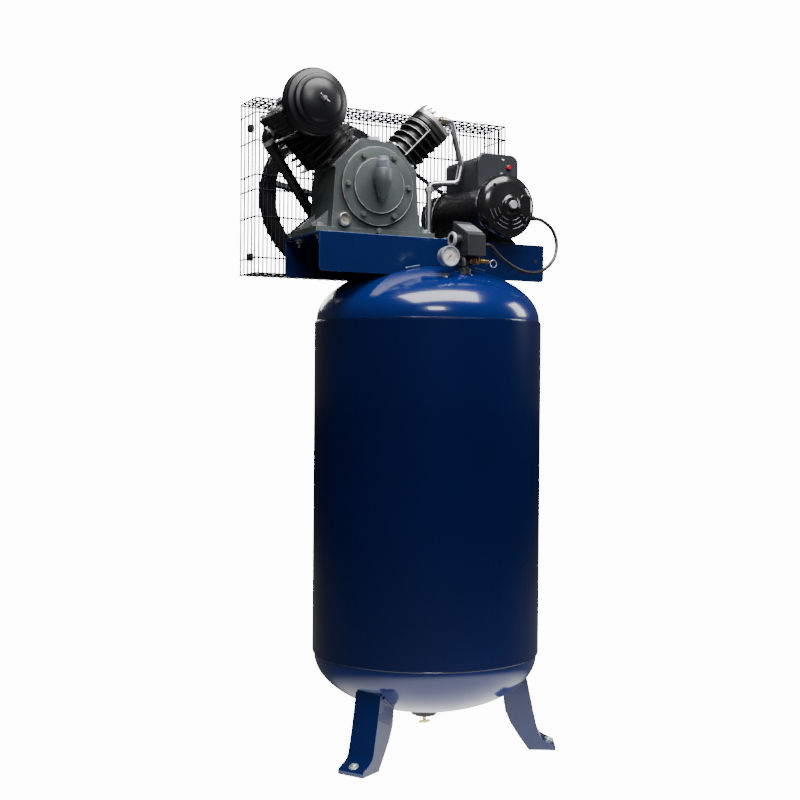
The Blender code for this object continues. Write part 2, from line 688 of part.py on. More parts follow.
def build_lines():
    y = BANK_Y
    elbow_foot = bank_point(HP, VALVE_PLATE_TOP + 0.0150, PORT_U[HP], y)
    elbow_top = bank_point(HP, 0.308, PORT_U[HP], y)
    tube_start = Vector((0.0425, y, OUTLET_Z))
    elbow = rod("discharge_elbow", elbow_foot, elbow_top, 0.0120, "brass", 6)
    join(elbow, rod("elbow_outlet", (0.022, y, OUTLET_Z), (0.0420, y, OUTLET_Z), 0.0110, "brass", 6))
    route = [tube_start, (0.0610, y, OUTLET_Z), (0.096, y + 0.004, 1.570), (0.086, y + 0.006, 1.5235),
             (0.0, 0.0, 1.514), (0.0, 0.0, 1.3845)]
    curve("discharge_tube", bent(route, 0.016), 0.0085, "aluminium")
    valve = [(0, 1.3840), (0.011, 1.3840), (0.011, 1.3790), (0.018, 1.3790), (0.018, 1.3720),
             (0.012, 1.3720), (0.012, TANK_TOP + GAP), (0, TANK_TOP + GAP)]
    turned("check_valve", valve, (0, 0, 0), (0, 0, 1), "aluminium", 20)
    line = [(0.0145, -0.006, 1.3640), (0.026, -0.030, 1.3640), (0.022, -0.128, 1.3620),
            (0.022, SWITCH_BACK + 0.0030, 1.3480)]
    curve("unloader_line", bent(line, 0.007, 4), 0.0030, "aluminium")
    start = bank_point(LP, VALVE_PLATE_TOP + 0.0133, CYLINDER[LP]["fin_u"] + GAP, 0.025)
    nose = bank_point(LP, VALVE_PLATE_TOP + 0.0133, CYLINDER[LP]["fin_u"] + 0.021, 0.025)
    end = bank_point(HP, 0.2700, 0.018, CYLINDER[HP]["fin_y"] + BANK_Y + GAP)
    last = Vector((end.x, 0.100, end.z))
    route = [start, nose, (-0.285, 0.100, 1.4040), (-0.150, 0.112, 1.3960), (-0.120, 0.112, 1.4700),
             last, end]
    curve("interstage_tube", bent(route, 0.020, 4), 0.0138, "black_paint")


# ---------------------------------------------------------------- drive


def build_flywheel():
    middle = (FLYWHEEL_FRONT + FLYWHEEL_BACK) / 2
    half = (FLYWHEEL_BACK - FLYWHEEL_FRONT) / 2
    origin = (CRANK_X, middle, CRANK_Z)
    groove = BELT_HALF_WIDTH + 0.0005
    shift = middle - BELT_Y
    r = FLYWHEEL_RADIUS
    profile = [(r, half), (r, shift + groove), (r - GROOVE_DEPTH, shift + groove),
               (r - GROOVE_DEPTH, shift - groove), (r, shift - groove), (r, -half), (r - 0.035, -half),
               (r - 0.035, half)]
    wheel = turned("flywheel", profile, origin, (0, -1, 0), "black_paint", 36, closed=True)
    hub = ring("flywheel_hub", 0.040, JOURNAL_RADIUS + 0.0004, -0.021, 0.021, origin, (0, -1, 0),
               "black_paint", 32)
    for i in range(FLYWHEEL_SPOKES):
        angle = math.radians(170.0 + 360.0 * i / FLYWHEEL_SPOKES)
        outwards = (math.cos(angle), 0, math.sin(angle))
        blade = box(f"spoke_{i}", (0.034, -0.0115, -0.0055), (r - 0.030, 0.0115, 0.0055))
        turn = frame(origin, outwards, (0, -1, 0)) @ Matrix.Rotation(math.radians(35), 4, "X")
        blade.matrix_basis = turn @ Matrix.Translation(((0.034 + r - 0.030) / 2, 0, 0))
        join(wheel, blade)
    join(wheel, hub)


def belt_outline(wheel, pulley):
    """The open belt's outline round two circles, as (x, z) points."""
    run = Vector((MOTOR_X - CRANK_X, MOTOR_Z - CRANK_Z))
    heading = math.degrees(math.atan2(run.y, run.x))
    wrap = math.degrees(math.acos((wheel - pulley) / run.length))
    big = arc((CRANK_X, CRANK_Z), wheel, heading + wrap, heading + 360 - wrap, 32)
    small = arc((MOTOR_X, MOTOR_Z), pulley, heading - wrap, heading + wrap, 12)
    return big + small


def build_belt():
    seat = 0.0015
    outer = belt_outline(FLYWHEEL_RADIUS - seat, PULLEY_RADIUS - seat)
    inner = belt_outline(FLYWHEEL_RADIUS - seat - BELT_DEPTH, PULLEY_RADIUS - seat - BELT_DEPTH)
    front, back = BELT_Y - BELT_HALF_WIDTH, BELT_Y + BELT_HALF_WIDTH
    belt = side_prism("drive_belt", outer, front, back, "rubber")
    cut(belt, side_prism("belt_inside", inner, front - 0.01, back + 0.01, "rubber"))


def build_pulley():
    r = PULLEY_RADIUS
    groove = BELT_HALF_WIDTH + 0.0005
    bore = SHAFT_RADIUS + 0.0004
    profile = [(r, 0.012), (r, groove), (r - GROOVE_DEPTH, groove), (r - GROOVE_DEPTH, -groove),
               (r, -groove), (r, -0.012), (bore, -0.012), (bore, 0.012)]
    turned("motor_pulley", profile, (MOTOR_X, BELT_Y, MOTOR_Z), (0, -1, 0), "steel", 28, closed=True)


# ---------------------------------------------------------------- motor


def build_motor():
    axis = (0, -1, 0)
    origin = (MOTOR_X, 0, MOTOR_Z)
    shell = ring("motor_shell", MOTOR_RADIUS, MOTOR_RADIUS - 0.003, -MOTOR_BACK, -MOTOR_FRONT,
                 origin, axis, "black_paint", 32)
    for y in (-0.085, 0.060):
        outline = [(MOTOR_X - 0.062, DECK_TOP + GAP), (MOTOR_X + 0.062, DECK_TOP + GAP),
                   (MOTOR_X + 0.062, DECK_TOP + 0.006), (MOTOR_X + 0.046, MOTOR_Z - 0.0600),
                   (MOTOR_X, MOTOR_Z - MOTOR_RADIUS + 0.001), (MOTOR_X - 0.046, MOTOR_Z - 0.0600),
                   (MOTOR_X - 0.062, DECK_TOP + 0.006)]
        join(shell, side_prism(f"motor_foot_{y}", outline, y - 0.016, y + 0.016, "black_paint"))
    ring("motor_stator", MOTOR_RADIUS - 0.0045, 0.052, -0.075, 0.085, origin, axis, "steel", 32)
    front = -MOTOR_FRONT + GAP
    bore = SHAFT_RADIUS + GAP
    outer = BELL_RADIUS
    bell = [(0.020, front + 0.060), (0.026, front + 0.054), (0.060, front + 0.049),
            (0.078, front + 0.040), (outer, front + 0.028), (outer, front + 0.014),
            (0.0765, front), (0.0690, front), (0.0690, front + 0.030), (0.022, front + 0.043),
            (bore, front + 0.043), (bore, front + 0.060)]
    turned("motor_front_bell", bell, origin, axis, "black_paint", 28, closed=True)
    back = -MOTOR_BACK - GAP
    rear = [(0.0765, back), (0.0765, back - 0.008), (0.068, back - 0.017),
            (0.030, back - 0.022), (bore, back - 0.022), (bore, back - 0.012), (0.062, back - 0.010),
            (0.0695, back)]
    turned("motor_rear_bell", rear, origin, axis, "black_paint", 28, closed=True)
    shaft = rod("motor_rotor", (MOTOR_X, -0.1875, MOTOR_Z), (MOTOR_X, BELT_Y + 0.014, MOTOR_Z),
                SHAFT_RADIUS)
    core = rod("rotor_core", (MOTOR_X, -0.080, MOTOR_Z), (MOTOR_X, 0.070, MOTOR_Z), 0.0505)
    join(shaft, core)


BOX_LEFT, BOX_RIGHT, BOX_TOP = 0.108, 0.233, 1.592
BOX_FRONT, BOX_BACK = -0.080, 0.100
BUTTON_X, BUTTON_Z, BUTTON_RADIUS = 0.202, 1.564, 0.0062


def build_motor_box():
    """Capacitor and terminal box astride the motor, with the overload reset button."""
    outline = rounded(BOX_LEFT, BOX_RIGHT, 1.488, BOX_TOP, (0, 0, 0.018, 0.018))
    case = side_prism("motor_box", outline, BOX_FRONT, BOX_BACK, "dark_plastic")
    wall = 0.0025
    lip = rounded(BOX_LEFT - 0.001, BOX_RIGHT + 0.001, 1.488, BOX_TOP + 0.007, (0, 0, 0.024, 0.024))
    join(case, side_prism("box_lid", lip, BOX_FRONT, BOX_FRONT + 0.012, "dark_plastic"))
    inside = rounded(BOX_LEFT + wall, BOX_RIGHT - wall, 1.40, BOX_TOP - wall, (0, 0, 0.016, 0.016))
    hollow = side_prism("box_hollow", inside, BOX_FRONT + wall, BOX_BACK - wall, "dark_plastic")
    seat = rod("box_seat", (MOTOR_X, -0.2, MOTOR_Z), (MOTOR_X, 0.2, MOTOR_Z), MOTOR_RADIUS + GAP * 2,
               sides=40)
    hole = rod("button_hole", (BUTTON_X, BOX_FRONT - 0.01, BUTTON_Z),
               (BUTTON_X, BOX_FRONT + 0.01, BUTTON_Z), BUTTON_RADIUS + GAP * 2)
    cut(case, hollow, seat, hole)
    button = rod("reset_button", (BUTTON_X, BOX_FRONT - 0.007, BUTTON_Z),
                 (BUTTON_X, BOX_FRONT + 0.010, BUTTON_Z), BUTTON_RADIUS, "red", 20)
    collar = rod("button_collar", (BUTTON_X, BOX_FRONT + wall + GAP, BUTTON_Z),
                 (BUTTON_X, BOX_FRONT + 0.0045, BUTTON_Z), 0.0085, "red", 20)
    join(button, collar)


# ---------------------------------------------------------------- belt guard


def build_guard():
    """A welded wire basket: front panel and four returns, open at the back."""
    wide = GUARD_RIGHT - GUARD_LEFT
    rows = [GUARD_BOTTOM, 1.308, 1.417, 1.489, 1.528, 1.6186, 1.693, GUARD_TOP]
    columns = [GUARD_LEFT + wide * i / GUARD_COLUMNS for i in range(GUARD_COLUMNS + 1)]
    solid = bmesh.new()
    depths = [GUARD_FRONT, GUARD_FRONT + 0.032, GUARD_BACK]
    made = {}

    def corner(x, y, z):
        key = (round(x, 5), round(y, 5), round(z, 5))
        if key not in made:
            made[key] = solid.verts.new((x, y, z))
        return made[key]

    def panel(places):
        solid.faces.new([corner(*place) for place in places])

    for x0, x1 in zip(columns, columns[1:]):
        middle = (x0 + x1) / 2
        for z0, z1 in zip(rows, rows[1:]):
            round_crank = abs(middle - CRANK_X) < 0.05
            round_motor = abs(middle - MOTOR_X) < 0.05
            over_dome = abs(middle) < 0.10
            if 1.417 <= z0 < 1.528 and (round_crank or round_motor):
                continue
            if z0 == GUARD_BOTTOM and over_dome:
                continue
            panel([(x0, GUARD_FRONT, z0), (x1, GUARD_FRONT, z0), (x1, GUARD_FRONT, z1),
                   (x0, GUARD_FRONT, z1)])
        for z in (GUARD_BOTTOM, GUARD_TOP):
            for y0, y1 in zip(depths, depths[1:]):
                if z == GUARD_BOTTOM and y0 == GUARD_FRONT and abs(middle) < 0.10:
                    continue
                panel([(x0, y0, z), (x1, y0, z), (x1, y1, z), (x0, y1, z)])
    for x in (GUARD_LEFT, GUARD_RIGHT):
        for z0, z1 in zip(rows, rows[1:]):
            for y0, y1 in zip(depths, depths[1:]):
                panel([(x, y0, z0), (x, y1, z0), (x, y1, z1), (x, y0, z1)])
    guard = add_mesh("belt_guard", solid, "black_paint", smooth=False)
    wires = guard.modifiers.new("wires", "WIREFRAME")
    wires.thickness = GUARD_WIRE
    wires.use_even_offset = True
    wires.use_boundary = True
    wires.use_replace = True


# ---------------------------------------------------------------- controls


def build_manifold():
    """A vertical pipe with side ports; the gauge is on its left and the safety valve on its right."""
    x, y = MANIFOLD_X, MANIFOLD_Y
    profile = [(0, SWITCH_BOTTOM - GAP), (0.0115, SWITCH_BOTTOM - GAP), (0.0125, SWITCH_BOTTOM - 0.0015),
               (0.0125, 1.276), (0.0085, 1.274), (0.0085, 1.269),
               (0.0105, 1.2675), (0.0105, 1.240), (0, 1.240)]
    pipe = turned("manifold", profile, (x, y, 0), (0, 0, 1), "steel", 20)
    z = PORT_Z - 0.005
    arm = rod("gauge_arm", (GAUGE_X, y, z), (x, y, z), 0.0064, sides=16)
    gauge_stem = rod("gauge_stem", (GAUGE_X, y, z), (GAUGE_X, -0.2017, z), 0.0060, sides=16)
    z = PORT_Z - 0.008
    port = rod("valve_arm", (x, y, z), (0.0295, y, z), 0.0060, sides=16)
    join(pipe, arm, gauge_stem, port)
    body = rod("safety_valve_body", (0.0300, y, z), (0.0460, y, z), 0.0092, "brass", 6)
    barrel = rod("safety_barrel", (0.0450, y, z), (0.0730, y, z), 0.0070, "brass", 16)
    bore = rod("safety_bore", (0.0590, y, z), (0.0790, y, z), 0.0030 + GAP)
    join(body, barrel)
    cut(body, bore)
    stem = rod("safety_valve_ring", (0.0610, y, z), (0.0820, y, z), 0.0030, "steel", 12)
    bail = bpy.data.meshes.new("bail")
    solid = bmesh.new()
    circle = bmesh.ops.create_circle(solid, cap_ends=False, segments=6, radius=0.0016)
    bmesh.ops.translate(solid, vec=(0.0095, 0, 0), verts=circle["verts"])
    bmesh.ops.rotate(solid, cent=(0.0095, 0, 0), matrix=Matrix.Rotation(math.radians(90), 3, "X"),
                     verts=circle["verts"])
    bmesh.ops.spin(solid, geom=solid.verts[:] + solid.edges[:], cent=(0, 0, 0), axis=(0, 0, 1),
                   angle=math.tau, steps=16, use_merge=True)
    bmesh.ops.recalc_face_normals(solid, faces=solid.faces)
    solid.to_mesh(bail)
    solid.free()
    loop = add("safety_bail", bail, "steel", frame((0.0890, y, z - 0.004), (1, 0, 0), (0, -1, 0)))
    join(stem, loop)


def build_gauge():
    """A dial gauge that faces the front: case, lens, and a needle on its own spindle."""
    z = PORT_Z - 0.0035
    centre = (GAUGE_X, GAUGE_Y, z)
    r = GAUGE_RADIUS
    case = [(0, -0.004), (r - 0.004, -0.004), (r - 0.003, 0.002), (r, 0.002), (r, -0.010),
            (r - 0.002, -0.028), (0, -0.028)]
    turned("gauge_case", case, centre, (0, -1, 0), "steel", 32)
    lens = [(0, 0.0015), (r - 0.0048, 0.0015), (r - 0.0048, 0.0003), (0, 0.0003)]
    turned("gauge_lens", lens, centre, (0, -1, 0), "glass", 32)
    needle = rod("gauge_needle", (GAUGE_X, GAUGE_Y + 0.0037, z), (GAUGE_X, GAUGE_Y + 0.0005, z),
                 0.0018, "red", 12)
    pointing = frame((GAUGE_X, GAUGE_Y + 0.0015, z), (-math.sqrt(0.5), 0, -math.sqrt(0.5)), (0, -1, 0))
    hand = [(-0.007, -0.0011), (0.0165, -0.0004), (0.0165, 0.0004), (-0.007, 0.0011)]
    join(needle, prism("needle_hand", hand, -0.0004, 0.0004, pointing, "red"))


def build_switch():
    box("pressure_switch_base", (SWITCH_LEFT, SWITCH_FRONT, SWITCH_BOTTOM),
        (SWITCH_RIGHT, SWITCH_BACK, SWITCH_BOTTOM + 0.008), "dark_plastic")
    foot = SWITCH_BOTTOM + 0.008 + GAP
    sideways = frame((0, 0, 0), (0, 1, 0), (1, 0, 0))
    outside = [(SWITCH_FRONT, foot), (SWITCH_BACK, foot), (SWITCH_BACK, 1.398), (SWITCH_FRONT, 1.358)]
    wall = 0.0025
    inside = [(SWITCH_FRONT + wall, foot - 0.002), (SWITCH_BACK - wall, foot - 0.002),
              (SWITCH_BACK - wall, 1.394), (SWITCH_FRONT + wall, 1.3555)]
    cover = prism("pressure_switch_cover", outside, SWITCH_LEFT, SWITCH_RIGHT, sideways,
                  "dark_plastic", smooth=False)
    hollow = prism("switch_hollow", inside, SWITCH_LEFT + wall, SWITCH_RIGHT - wall, sideways,
                   "dark_plastic", smooth=False)
    spot = (SWITCH_LEFT, -0.184, 1.346)
    neck = ring("conduit_neck", 0.0140, 0.0105, -0.001, 0.020, spot, (-1, 0, 0), "dark_plastic", 24)
    locknut = ring("conduit_nut", 0.0190, 0.0105, 0.019, 0.027, spot, (-1, 0, 0), "dark_plastic", 24)
    cut(cover, hollow)
    join(cover, neck, locknut)
    rod("lead_gland", (SWITCH_RIGHT + GAP, -0.205, 1.334), (SWITCH_RIGHT + 0.008, -0.205, 1.334),
        0.0085, "dark_plastic", 16)


LEAD_RADIUS = 0.0048


def build_lead():
    """The motor's lead: out of the switch, a slack loop past the platform, into the motor."""
    route = [(0.0550, -0.205, 1.334), (0.072, -0.206, 1.331), (0.097, -0.210, 1.306),
             (0.141, -0.206, 1.282), (0.192, -0.196, 1.271), (0.246, -0.182, 1.279),
             (0.291, -0.168, 1.311), (0.310, -0.156, 1.354), (0.301, -0.149, 1.394),
             (0.272, -0.143, 1.418), (0.2405, -0.140, 1.424)]
    curve("motor_lead", flowing(route, 3), LEAD_RADIUS, "rubber")


def build_all():
    build_tank()
    for name, azimuth in LEG_AZIMUTHS.items():
        build_leg(name, azimuth)
    build_drain()
    build_platform()
    build_crankcase()
    build_cover()
    build_breather()
    build_case_fittings()
    for side in (LP, HP):
        build_cylinder(side)
        build_head(side)
    build_running_gear()
    build_filter()
    build_lines()
    build_flywheel()
    build_belt()
    build_pulley()
    build_motor()
    build_motor_box()
    build_guard()
    build_manifold()
    build_gauge()
    build_switch()
    build_lead()


for old in list(bpy.data.objects):
    bpy.data.objects.remove(old, do_unlink=True)
bpy.context.scene.collection.children.link(PARTS)
bpy.context.scene.collection.children.link(CUTTERS)
FRAME = bpy.data.objects.new("frame_origin", None)
FRAME.location = (-CENTRE_X, -CENTRE_Y, 0.0)
bpy.context.scene.collection.objects.link(FRAME)
build_all()
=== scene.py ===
"""Looks of the vertical tank compressor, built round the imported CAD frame.

Every measure is in metres. x and y are counted from the receiver's own axis and z from the floor,
and put() moves a finished piece to where the frame has that axis. The pump's two cylinders are
banks: along a bank, z counts from the crank, x runs down across it and y is the depth.
"""

import json
import math

import bmesh
import bpy
from mathutils import Matrix, Vector


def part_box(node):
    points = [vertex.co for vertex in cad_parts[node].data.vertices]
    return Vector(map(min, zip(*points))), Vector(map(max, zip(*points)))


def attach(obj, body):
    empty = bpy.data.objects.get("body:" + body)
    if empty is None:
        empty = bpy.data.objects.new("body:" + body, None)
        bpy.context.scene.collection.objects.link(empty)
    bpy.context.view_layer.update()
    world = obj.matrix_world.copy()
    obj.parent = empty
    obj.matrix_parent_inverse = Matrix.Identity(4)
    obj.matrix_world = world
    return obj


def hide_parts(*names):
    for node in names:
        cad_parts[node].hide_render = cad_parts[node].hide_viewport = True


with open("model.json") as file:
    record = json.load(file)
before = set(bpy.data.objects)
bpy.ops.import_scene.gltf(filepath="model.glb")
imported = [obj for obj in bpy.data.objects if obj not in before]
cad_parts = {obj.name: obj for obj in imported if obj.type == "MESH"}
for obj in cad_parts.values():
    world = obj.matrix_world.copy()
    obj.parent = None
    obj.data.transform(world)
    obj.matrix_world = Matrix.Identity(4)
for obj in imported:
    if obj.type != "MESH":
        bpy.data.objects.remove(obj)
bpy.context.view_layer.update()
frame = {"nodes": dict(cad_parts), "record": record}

SHELL_LOW, SHELL_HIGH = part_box("tank_shell")
AXIS = Vector(((SHELL_LOW.x + SHELL_HIGH.x) / 2, (SHELL_LOW.y + SHELL_HIGH.y) / 2, 0))
ROOT = "compressor"


def local(node):
    """A node's lowest and highest corners, counted from the receiver's axis."""
    low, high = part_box(node)
    return low - AXIS, high - AXIS


def middle(node):
    low, high = local(node)
    return (low + high) / 2


SHELL_R = (SHELL_HIGH.x - SHELL_LOW.x) / 2
SHELL_BOTTOM, SHELL_TOP = SHELL_LOW.z, SHELL_HIGH.z
HEAD_R = SHELL_R - 0.0048
HEAD_RISE = 0.152
HEAD_SKIRT = 0.006
CRANK = middle("flywheel")
MOTOR = middle("motor_pulley")
BANK_Y = -0.012
LOW_STAGE, HIGH_STAGE = -1, 1
MOTOR_FEET_Y = (-0.085, 0.06)
TANK_WALL = 0.0045

# ---------------------------------------------------------------- camera, light and stage


def camera():
    place = AXIS + Vector((-1.677, -3.051, 0.96))
    turn, pitch, roll = math.radians(27.595), math.radians(-0.4711), math.radians(0.4802)
    level = math.cos(pitch)
    ahead = Vector((math.sin(turn) * level, math.cos(turn) * level, math.sin(pitch)))
    right = Vector((math.cos(turn), -math.sin(turn), 0))
    up = right.cross(ahead)
    side = right * math.cos(roll) + up * math.sin(roll)
    top = up * math.cos(roll) - right * math.sin(roll)
    data = bpy.data.cameras.new("camera")
    data.sensor_width = 36
    data.lens = 57.95
    data.clip_end = 200
    seen = bpy.data.objects.new("camera", data)
    axes = Matrix((side, top, -ahead)).transposed().to_4x4()
    seen.matrix_world = Matrix.Translation(place) @ axes
    bpy.context.scene.collection.objects.link(seen)
    bpy.context.scene.camera = seen


# The floor's glow lights the receiver from below. The backdrop is only as bright as this to the
# camera, so that the room stays dark in the enamel.
FLOOR_GLOW = 1.95
GLOW_FULL, GLOW_END = 0.3, 0.8
GLOW_FORWARD = 0.35
FLOOR_R = 60
BACKDROP = 14.0
ROOM_FILL = 0.07


def softbox(name, place, target, width, height, power):
    data = bpy.data.lights.new(name, "AREA")
    data.shape = "RECTANGLE"
    data.size = width
    data.size_y = height
    data.energy = power
    lamp = bpy.data.objects.new(name, data)
    lamp.location = AXIS + Vector(place)
    aim = AXIS + Vector(target) - lamp.location
    lamp.rotation_mode = "QUATERNION"
    lamp.rotation_quaternion = aim.to_track_quat("-Z", "Y")
    bpy.context.scene.collection.objects.link(lamp)


def stage():
    solid = bmesh.new()
    bmesh.ops.create_circle(solid, cap_ends=True, segments=96, radius=FLOOR_R)
    data = bpy.data.meshes.new("floor")
    solid.to_mesh(data)
    solid.free()
    floor = bpy.data.objects.new("floor", data)
    floor.location = (AXIS.x, AXIS.y - GLOW_FORWARD, -0.0005)
    bpy.context.scene.collection.objects.link(floor)
    made = bpy.data.materials.new("floor_white")
    made.use_nodes = True
    nodes, links = made.node_tree.nodes, made.node_tree.links
    shader = nodes["Principled BSDF"]
    shader.inputs["Base Color"].default_value = (0.1, 0.1, 0.102, 1)
    shader.inputs["Roughness"].default_value = 0.8
    shader.inputs["Specular IOR Level"].default_value = 0.1
    shader.inputs["Emission Color"].default_value = (1, 1, 1, 1)
    place = nodes.new("ShaderNodeTexCoord")
    near = nodes.new("ShaderNodeVectorMath")
    near.operation = "LENGTH"
    pool = nodes.new("ShaderNodeMapRange")
    pool.interpolation_type = "SMOOTHSTEP"
    pool.inputs["From Min"].default_value = GLOW_FULL
    pool.inputs["From Max"].default_value = GLOW_END
    pool.inputs["To Min"].default_value = FLOOR_GLOW
    pool.inputs["To Max"].default_value = 0.0
    seen = nodes.new("ShaderNodeLightPath")
    level = nodes.new("ShaderNodeMix")
    level.inputs["B"].default_value = BACKDROP
    links.new(place.outputs["Object"], near.inputs[0])
    links.new(near.outputs["Value"], pool.inputs["Value"])
    links.new(seen.outputs["Is Camera Ray"], level.inputs["Factor"])
    links.new(pool.outputs["Result"], level.inputs["A"])
    links.new(level.outputs["Result"], shader.inputs["Emission Strength"])
    data.materials.append(made)
    world = bpy.data.worlds.new("studio")
    bpy.context.scene.world = world
    world.use_nodes = True
    nodes, links = world.node_tree.nodes, world.node_tree.links
    nodes.clear()
    seen = nodes.new("ShaderNodeBackground")
    seen.inputs["Color"].default_value = (1, 1, 1, 1)
    seen.inputs["Strength"].default_value = BACKDROP
    fill = nodes.new("ShaderNodeBackground")
    fill.inputs["Color"].default_value = (1, 1, 1, 1)
    fill.inputs["Strength"].default_value = ROOM_FILL
    path = nodes.new("ShaderNodeLightPath")
    mix = nodes.new("ShaderNodeMixShader")
    out = nodes.new("ShaderNodeOutputWorld")
    links.new(path.outputs["Is Camera Ray"], mix.inputs[0])
    links.new(fill.outputs[0], mix.inputs[1])
    links.new(seen.outputs[0], mix.inputs[2])
    links.new(mix.outputs[0], out.inputs["Surface"])
    softbox("top_light", (-0.1, -1.2, 3.9), (0, 0, 1.2), 3.2, 1.6, 230)
    softbox("front_light", (-1.6, -4.4, 3.6), (0, 0, 1.4), 1.4, 0.9, 85)
    softbox("right_light", (3.4, -0.6, 2.4), (0, 0, 1.3), 0.9, 1.6, 45)
    softbox("back_light", (0.8, 4.0, 2.6), (0, 0, 1.3), 2.4, 1.4, 60)


# ---------------------------------------------------------------- materials


def surface(name, light, dark, rough, metal=0.0, grain=300.0, depth=0.0002, patch=8.0, coat=0.0,
            stretch=(1, 1, 1), spread=0.08, detail=3.0):
    """A mottled, grained surface: two close tints, roughness that wanders, and fine bump."""
    made = bpy.data.materials.new(name)
    made.use_nodes = True
    nodes, links = made.node_tree.nodes, made.node_tree.links
    shader = nodes["Principled BSDF"]
    shader.inputs["Metallic"].default_value = metal
    if coat:
        shader.inputs["Coat Weight"].default_value = coat
        shader.inputs["Coat Roughness"].default_value = 0.04
    place = nodes.new("ShaderNodeTexCoord")
    scale = nodes.new("ShaderNodeMapping")
    scale.inputs["Scale"].default_value = stretch
    links.new(place.outputs["Object"], scale.inputs["Vector"])
    cloud = nodes.new("ShaderNodeTexNoise")
    cloud.inputs["Scale"].default_value = patch
    cloud.inputs["Detail"].default_value = detail
    fine = nodes.new("ShaderNodeTexNoise")
    fine.inputs["Scale"].default_value = grain
    fine.inputs["Detail"].default_value = detail
    links.new(scale.outputs["Vector"], cloud.inputs["Vector"])
    links.new(scale.outputs["Vector"], fine.inputs["Vector"])
    tint = nodes.new("ShaderNodeValToRGB")
    tint.color_ramp.elements[0].position = 0.35
    tint.color_ramp.elements[0].color = (*dark, 1)
    tint.color_ramp.elements[1].position = 0.65
    tint.color_ramp.elements[1].color = (*light, 1)
    links.new(cloud.outputs["Fac"], tint.inputs["Fac"])
    links.new(tint.outputs["Color"], shader.inputs["Base Color"])
    wander = nodes.new("ShaderNodeMapRange")
    wander.inputs["To Min"].default_value = max(rough - spread, 0.02)
    wander.inputs["To Max"].default_value = min(rough + spread, 1.0)
    links.new(fine.outputs["Fac"], wander.inputs["Value"])
    links.new(wander.outputs["Result"], shader.inputs["Roughness"])
    bump = nodes.new("ShaderNodeBump")
    bump.inputs["Strength"].default_value = 0.6
    bump.inputs["Distance"].default_value = depth
    links.new(fine.outputs["Fac"], bump.inputs["Height"])
    links.new(bump.outputs["Normal"], shader.inputs["Normal"])
    return made


NAVY = surface("navy_enamel", (0.0001, 0.0048, 0.056), (0.0001, 0.004, 0.047), 0.22, grain=420,
               depth=0.00004, patch=3, coat=0.15, spread=0.03)
# Painted light: the tank heads take a lighter copy of the navy enamel, as if lit from above.
LIT_DOME_NAVY = surface("dome_enamel_painted_lit", (0.0002, 0.012, 0.12), (0.0001, 0.01, 0.102), 0.2, grain=420,
                    depth=0.00004, patch=3, coat=0.5, spread=0.03)
# Painted light: a lighter copy of the navy enamel for the platform and legs, as if lit.
LIT_DECK_NAVY = surface("deck_enamel_painted_lit", (0.001, 0.01, 0.076), (0.0007, 0.0082, 0.064), 0.26, grain=420,
                    depth=0.00005, patch=4, coat=0.3, spread=0.04)
# Painted highlight: a lighter blue on the rounded edges of the platform and legs.
NAVY_EDGE_HIGHLIGHT = surface("navy_edge_painted_highlight", (0.012, 0.05, 0.24), (0.004, 0.03, 0.17), 0.22,
                    grain=300, depth=0.00005, patch=40, coat=0.4)
# Painted highlight: a pale grey on the crankcase's rounded edges, the front cover's rims and the
# left foot pads.
GREEN_EDGE_HIGHLIGHT = surface("green_edge_painted_highlight", (0.5, 0.52, 0.5), (0.16, 0.18, 0.17), 0.4, grain=300,
                     depth=0.0003, patch=50, detail=5)
GREEN = surface("cast_green_paint", (0.086, 0.102, 0.101), (0.06, 0.072, 0.071), 0.42, grain=330,
                depth=0.0005, patch=14, spread=0.1, detail=5)
CAST = surface("black_casting", (0.016, 0.016, 0.017), (0.007, 0.007, 0.008), 0.36, grain=380,
               depth=0.0005, patch=30, spread=0.12, detail=5)
BLACK = surface("black_enamel", (0.011, 0.011, 0.012), (0.007, 0.007, 0.008), 0.27, grain=500,
                depth=0.00008, patch=6, spread=0.06)
SATIN = surface("satin_black", (0.008, 0.008, 0.01), (0.005, 0.005, 0.007), 0.38, grain=420,
                depth=0.00005, patch=6, spread=0.05)
GLOSS = surface("gloss_black", (0.01, 0.01, 0.011), (0.008, 0.008, 0.009), 0.2, grain=260,
                depth=0.00003, patch=5, coat=0.5, spread=0.04)
WIRE = surface("guard_wire_coat", (0.014, 0.015, 0.026), (0.008, 0.009, 0.016), 0.25, grain=500,
               depth=0.00005, patch=20, spread=0.06)
PLASTIC = surface("moulded_plastic", (0.03, 0.031, 0.034), (0.022, 0.023, 0.026), 0.42, grain=900,
                  depth=0.00015, patch=12, spread=0.08)
BOX_PLASTIC = surface("box_enamel", (0.034, 0.036, 0.044), (0.026, 0.028, 0.034), 0.38, grain=700,
                      depth=0.00012, patch=10, spread=0.08)
# Painted highlight: lighter lines on the motor box lid's edges and the motor bell's vent slots.
BOX_EDGE_HIGHLIGHT = surface("box_edge_painted_highlight", (0.2, 0.2, 0.22), (0.1, 0.1, 0.11), 0.3, grain=500,
                   depth=0.00006, patch=40)
LILAC = surface("breather_plastic", (0.2, 0.2, 0.26), (0.13, 0.13, 0.18), 0.4, grain=600,
                depth=0.00012, patch=60)
ALUMINIUM = surface("bare_aluminium", (0.74, 0.74, 0.75), (0.6, 0.6, 0.61), 0.3, metal=1.0,
                    grain=420, depth=0.00008, patch=25, stretch=(1, 1, 0.3))
CASTING = surface("cast_aluminium", (0.62, 0.62, 0.63), (0.42, 0.42, 0.43), 0.42, metal=1.0,
                  grain=350, depth=0.0004, patch=40, detail=5)
